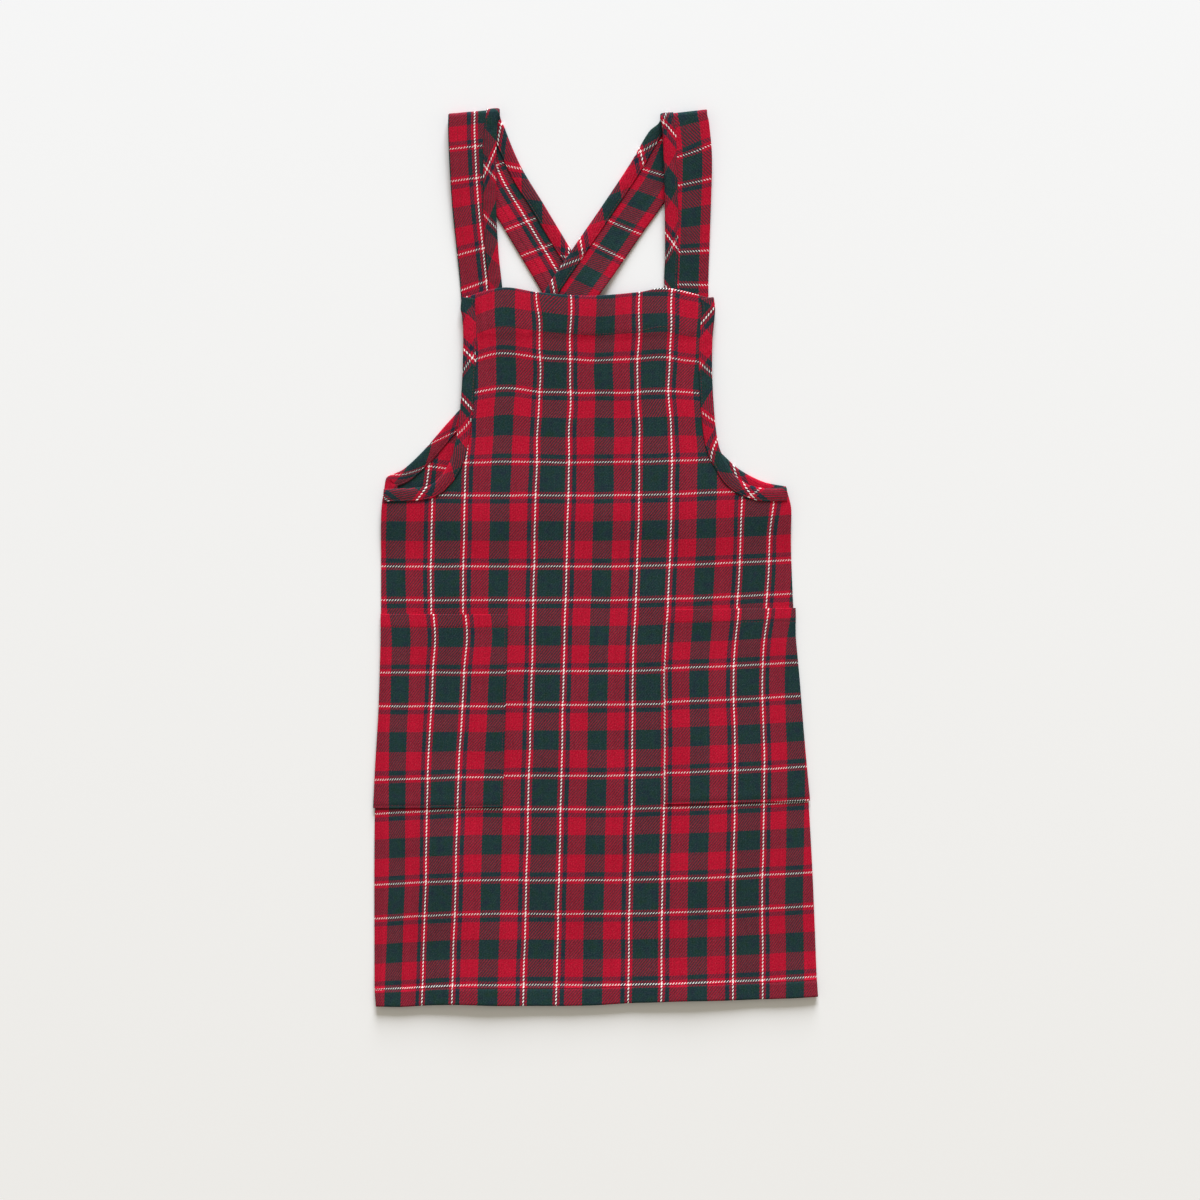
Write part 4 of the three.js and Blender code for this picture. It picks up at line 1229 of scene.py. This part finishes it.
def checked_twill(name, shade):
    """Brushed cotton twill, with its check woven yarn by yarn from the fabric map."""
    material, nodes, shader = new_material(name)
    fabric = nodes.add("ShaderNodeUVMap", uv_map="fabric").outputs[0]
    colour, red, yarn_tone, height = weave(nodes, fabric)
    fibres = nodes.noise(fabric, *FIBRES)
    nap = nodes.noise(fabric, *NAP)
    tone = shade
    # Brightness of the colour: random tones of yarns, fibres, slubs, nap and patches, and painted shade
    # where the weave's relief is low
    for source, middle, amount in (
        (yarn_tone, 0.5, YARN_TONE),
        (height, RELIEF_MIDDLE, RELIEF_SHADE),
        (fibres, 0.5, FIBRE_TONE),
        (nodes.noise(fabric, *SLUBS), 0.5, SLUB_TONE),
        (nap, 0.5, NAP_TONE),
        (nodes.noise(fabric, *PATCHES), 0.5, PATCH_TONE),
    ):
        tone = nodes.math("MULTIPLY_ADD", nodes.math("SUBTRACT", source, middle), amount, tone)
    toned = nodes.add("ShaderNodeHueSaturation")
    dark = nodes.math("LESS_THAN", red, DARK_DYE)
    drift = nodes.math("MULTIPLY", nodes.math("SUBTRACT", nap, 0.5), dark)
    nodes.link(nodes.math("MULTIPLY_ADD", drift, DYE_DRIFT, 0.5), toned.inputs["Hue"])
    nodes.link(tone, toned.inputs["Value"])
    nodes.link(colour, toned.inputs["Color"])
    # Pale fibre ends as bright specks on the colour, which are also painted sheen
    fuzz_and_sheen_specks = nodes.math("SUBTRACT", nodes.noise(fabric, *FUZZ_AND_SHEEN_SPECKS), 0.5)
    lint_and_sheen = nodes.math("MULTIPLY", nodes.math("MAXIMUM", fuzz_and_sheen_specks, 0.0), LINT_AND_SHEEN)
    nodes.link(nodes.blend(lint_and_sheen, toned.outputs[0], LINT_AND_SHEEN_COLOUR), shader.inputs["Base Color"])

    relief = nodes.math("ADD", height, nodes.math("MULTIPLY", fibres, FIBRE_RELIEF))
    nodes.link(nodes.bump(relief, strength=0.8, distance=0.0003), shader.inputs["Normal"])
    roughness = nodes.math("MULTIPLY_ADD", nap, NAP_ROUGHNESS, CLOTH_ROUGHNESS)
    nodes.link(roughness, shader.inputs["Roughness"])
    shader.inputs["Specular IOR Level"].default_value = 0.0
    shader.inputs["Sheen Weight"].default_value = 0.02
    shader.inputs["Sheen Roughness"].default_value = 0.5
    shader.inputs["Sheen Tint"].default_value = (1.0, 0.9, 0.9, 1.0)
    return material


def sewing_thread():
    """Spun sewing thread, dark red, with its twist."""
    material, nodes, shader = new_material("sewing_thread")
    place = nodes.add("ShaderNodeTexCoord").outputs["Object"]
    twist = nodes.noise(place, *TWIST)
    nodes.link(nodes.blend(twist, THREAD_DARK, THREAD_LIGHT), shader.inputs["Base Color"])
    nodes.link(nodes.bump(twist, strength=0.4, distance=0.0001), shader.inputs["Normal"])
    roughness = nodes.math("MULTIPLY_ADD", twist, TWIST_ROUGHNESS, THREAD_ROUGHNESS)
    nodes.link(roughness, shader.inputs["Roughness"])
    shader.inputs["Specular IOR Level"].default_value = 0.3
    return material


# Table: its tone near the hem and beyond the straps, and the distance, in metres, by which it has turned.
# The cooler tone beyond the straps is a painted tint of the light.
TABLE_NEAR = (0.890, 0.890, 0.886, 1.0)
TABLE_FAR = (0.877, 0.890, 0.910, 1.0)
TABLE_TURN = 0.6


def table_top():
    """Pale matt table that the apron lies on, with a painted tint of light that turns a little cooler
    beyond the straps.
    """
    material, nodes, shader = new_material("pale_table")
    place = nodes.add("ShaderNodeTexCoord")
    split = nodes.add("ShaderNodeSeparateXYZ")
    nodes.link(place.outputs["Object"], split.inputs[0])
    turn = nodes.add("ShaderNodeMapRange")
    turn.inputs["From Min"].default_value = -TABLE_TURN
    turn.inputs["From Max"].default_value = TABLE_TURN
    nodes.link(split.outputs[1], turn.inputs["Value"])
    # painted light: the table's colour turns cooler beyond the straps
    nodes.link(nodes.blend(turn.outputs[0], TABLE_NEAR, TABLE_FAR), shader.inputs["Base Color"])
    shader.inputs["Roughness"].default_value = 0.9
    shader.inputs["Specular IOR Level"].default_value = 0.1
    return material


# Stitches, with the bead that each one is shaped from
STITCH_PITCH = 3.0
STITCH_LENGTH = 2.3
STITCH_SIZES = (0.88, 1.06)  # least and most that a stitch is scaled by
STITCH_SEED = 7
THREAD_WIDTH = 0.42
THREAD_RISE = 0.2  # share of the thread's width that a stitch's middle stands above the cloth
BEAD_SEGMENTS = 6
BEAD_RINGS = 4
STITCH_INPUTS = (
    ("Pitch", "NodeSocketFloat"),
    ("Length", "NodeSocketFloat"),
    ("Thread", "NodeSocketFloat"),
    ("Seed", "NodeSocketInt"),
    ("Finish", "NodeSocketMaterial"),
)


def stitch_tree():
    """Geometry Nodes that lay stitches along every line of a mesh, turned to the cloth they sit on."""
    tree = bpy.data.node_groups.new("stitch_rows", "GeometryNodeTree")
    sockets = {}
    tree.interface.new_socket("Geometry", in_out="INPUT", socket_type="NodeSocketGeometry")
    for name, kind in STITCH_INPUTS:
        sockets[name] = tree.interface.new_socket(name, in_out="INPUT", socket_type=kind).identifier
    tree.interface.new_socket("Geometry", in_out="OUTPUT", socket_type="NodeSocketGeometry")
    nodes = Nodes(tree)
    given = nodes.add("NodeGroupInput")
    result = nodes.add("NodeGroupOutput")
    lines = nodes.add("GeometryNodeMeshToCurve")
    nodes.link(given.outputs["Geometry"], lines.inputs["Mesh"])
    even = nodes.add("GeometryNodeResampleCurve", mode="LENGTH")
    nodes.link(lines.outputs[0], even.inputs["Curve"])
    nodes.link(given.outputs["Pitch"], even.inputs["Length"])
    bead = nodes.add("GeometryNodeMeshUVSphere")
    bead.inputs["Segments"].default_value = BEAD_SEGMENTS
    bead.inputs["Rings"].default_value = BEAD_RINGS
    bead.inputs["Radius"].default_value = 0.5
    size = nodes.add("ShaderNodeCombineXYZ")
    nodes.link(given.outputs["Length"], size.inputs[0])
    nodes.link(given.outputs["Thread"], size.inputs[1])
    nodes.link(given.outputs["Thread"], size.inputs[2])
    shaped = nodes.add("GeometryNodeTransform")
    nodes.link(bead.outputs["Mesh"], shaped.inputs["Geometry"])
    nodes.link(size.outputs[0], shaped.inputs["Scale"])
    way = nodes.add("GeometryNodeInputTangent")
    along = nodes.add("FunctionNodeAlignRotationToVector", axis="X")
    nodes.link(way.outputs[0], along.inputs["Vector"])
    lifted = nodes.add("GeometryNodeInputNamedAttribute", data_type="FLOAT_VECTOR")
    lifted.inputs["Name"].default_value = "up"
    upright = nodes.add("FunctionNodeAlignRotationToVector", axis="Z", pivot_axis="X")
    nodes.link(along.outputs[0], upright.inputs["Rotation"])
    nodes.link(lifted.outputs[0], upright.inputs["Vector"])
    uneven = nodes.add("FunctionNodeRandomValue", data_type="FLOAT")
    uneven.inputs[2].default_value, uneven.inputs[3].default_value = STITCH_SIZES
    nodes.link(given.outputs["Seed"], uneven.inputs["Seed"])
    placed = nodes.add("GeometryNodeInstanceOnPoints")
    nodes.link(even.outputs[0], placed.inputs["Points"])
    nodes.link(shaped.outputs[0], placed.inputs["Instance"])
    nodes.link(upright.outputs[0], placed.inputs["Rotation"])
    nodes.link(uneven.outputs[1], placed.inputs["Scale"])
    real = nodes.add("GeometryNodeRealizeInstances")
    nodes.link(placed.outputs[0], real.inputs[0])
    finished = nodes.add("GeometryNodeSetMaterial")
    nodes.link(real.outputs[0], finished.inputs["Geometry"])
    nodes.link(given.outputs["Finish"], finished.inputs["Material"])
    nodes.link(finished.outputs[0], result.inputs[0])
    return tree, sockets


def stitches(name, finish):
    """All rows of stitches of the apron as one plain mesh."""
    points, ups, edges = [], [], []
    for line, up in STITCH_LINES:
        start = len(points)
        points.extend((line + up * THREAD_WIDTH * THREAD_RISE) * MM)
        ups.extend(up)
        edges.extend((start + k, start + k + 1) for k in range(len(line) - 1))
    mesh = bpy.data.meshes.new("stitch_lines")
    mesh.from_pydata([tuple(point) for point in points], edges, [])
    attribute = mesh.attributes.new("up", "FLOAT_VECTOR", "POINT")
    attribute.data.foreach_set("vector", np.array(ups, np.float32).ravel())
    guide = add_object("stitch_lines", mesh)
    tree, sockets = stitch_tree()
    modifier = guide.modifiers.new("stitches", "NODES")
    modifier.node_group = tree
    modifier[sockets["Pitch"]] = STITCH_PITCH * MM
    modifier[sockets["Length"]] = STITCH_LENGTH * MM
    modifier[sockets["Thread"]] = THREAD_WIDTH * MM
    modifier[sockets["Seed"]] = STITCH_SEED
    modifier[sockets["Finish"]] = finish
    graph = bpy.context.evaluated_depsgraph_get()
    made = bpy.data.meshes.new_from_object(guide.evaluated_get(graph))
    made.name = name
    made.shade_smooth()
    bpy.data.objects.remove(guide)
    return add_object(name, made)


# Camera straight above the photo's middle, with a long lens
VIEW_X, VIEW_Y = 0.005, -0.042
VIEW_WIDTH = 1.2
VIEW_DISTANCE = 2.6
SENSOR = 36.0


def add_camera():
    """Camera that looks straight down and sees the width of the photo on the table."""
    data = bpy.data.cameras.new("camera")
    data.sensor_width = SENSOR
    data.lens = SENSOR * VIEW_DISTANCE / VIEW_WIDTH
    camera = add_object("camera", data)
    camera.location = (VIEW_X, VIEW_Y, VIEW_DISTANCE)
    bpy.context.scene.camera = camera


# Light: bearing and elevation in degrees, distance and size in metres
KEY_BEARING = 4.0  # from +Y towards +X
KEY_ELEVATION = 18.5
KEY_DISTANCE = 18.0
KEY_SIZE = 8.2
KEY_POWER = 6450.0
KEY_COLOUR = (0.97, 0.99, 1.045)
SKY_COLOUR = (1.07, 1.0, 0.845, 1.0)
SKY_STRENGTH = 0.39


def add_light():
    """A large soft light from low beyond the straps, and even light from all round."""
    data = bpy.data.lights.new("key", "AREA")
    data.shape = "SQUARE"
    data.size = KEY_SIZE
    data.energy = KEY_POWER
    data.color = KEY_COLOUR
    key = add_object("key", data)
    bearing, elevation = math.radians(KEY_BEARING), math.radians(KEY_ELEVATION)
    reach = KEY_DISTANCE * math.cos(elevation)
    key.location = (
        VIEW_X + reach * math.sin(bearing),
        VIEW_Y + reach * math.cos(bearing),
        KEY_DISTANCE * math.sin(elevation),
    )
    key.rotation_euler = (math.pi / 2 - elevation, 0.0, math.pi - bearing)
    world = bpy.data.worlds.new("studio")
    world.use_nodes = True
    sky = world.node_tree.nodes["Background"]
    sky.inputs["Color"].default_value = SKY_COLOUR
    sky.inputs["Strength"].default_value = SKY_STRENGTH
    bpy.context.scene.world = world


FLOOR_CORNERS = ((-6.0, -6.0), (6.0, -6.0), (6.0, 6.0), (-6.0, 6.0))
FLOOR_Z = -0.0002


def add_floor():
    """The table, as one large face just below the apron."""
    mesh = bpy.data.meshes.new("floor")
    mesh.from_pydata([(x, y, FLOOR_Z) for x, y in FLOOR_CORNERS], [], [(0, 1, 2, 3)])
    mesh.materials.append(table_top())
    add_object("floor", mesh)


add_camera()
add_light()
add_floor()
bpy.context.scene.view_settings.view_transform = "Standard"
# The yarns are about as fine as a pixel, and a smoothed guide for the denoiser would wipe the weave out
bpy.context.scene.cycles.denoising_prefilter = "NONE"

CLOTH_SHADE = 1.0
TAPE_SHADE = 0.96
cloth = checked_twill("checked_cotton_twill", CLOTH_SHADE)
tape = checked_twill("bias_cut_twill", TAPE_SHADE)
thread = sewing_thread()

# Pieces by the solid they stand for: width and length of the cut in metres, area in square metres where
# the cut isn't a rectangle, and the solids that they rest on
CUTS = {
    "front_panel": (front_panel(cloth), (0.445, 0.76), 0.272, ["back_panel_left", "back_panel_right"]),
    "pocket_left": (pocket("left", cloth), (0.142, 0.225), None, ["front_panel"]),
    "pocket_right": (pocket("right", cloth), (0.146, 0.225), None, ["front_panel"]),
    "back_panel_left": (back_panel("left", cloth), (0.21, 0.60), 0.105, []),
    "back_panel_right": (back_panel("right", cloth), (0.22, 0.60), 0.104, []),
    "strap_left": (strap("left", cloth), (0.056, 0.62), None, []),
    "strap_right": (strap("right", cloth), (0.056, 0.62), None, []),
}
TAPES = {
    "armhole_binding_left": (armhole_binding("left", tape), (0.030, 0.26), None, ["front_panel"]),
    "armhole_binding_right": (armhole_binding("right", tape), (0.030, 0.25), None, ["front_panel"]),
    "neck_binding_left": (neck_binding("left", tape), (0.030, 0.76), None, ["strap_left"]),
    "neck_binding_right": (neck_binding("right", tape), (0.030, 0.74), None, ["strap_right"]),
}
seam_stitches = stitches("seam_stitches", thread)
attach(seam_stitches, "root")

for pieces, slot in ((CUTS, "checked_cotton"), (TAPES, "bias_binding")):
    for node, (piece, flat, area, rests_on) in pieces.items():
        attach(piece, "root")
        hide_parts(node)
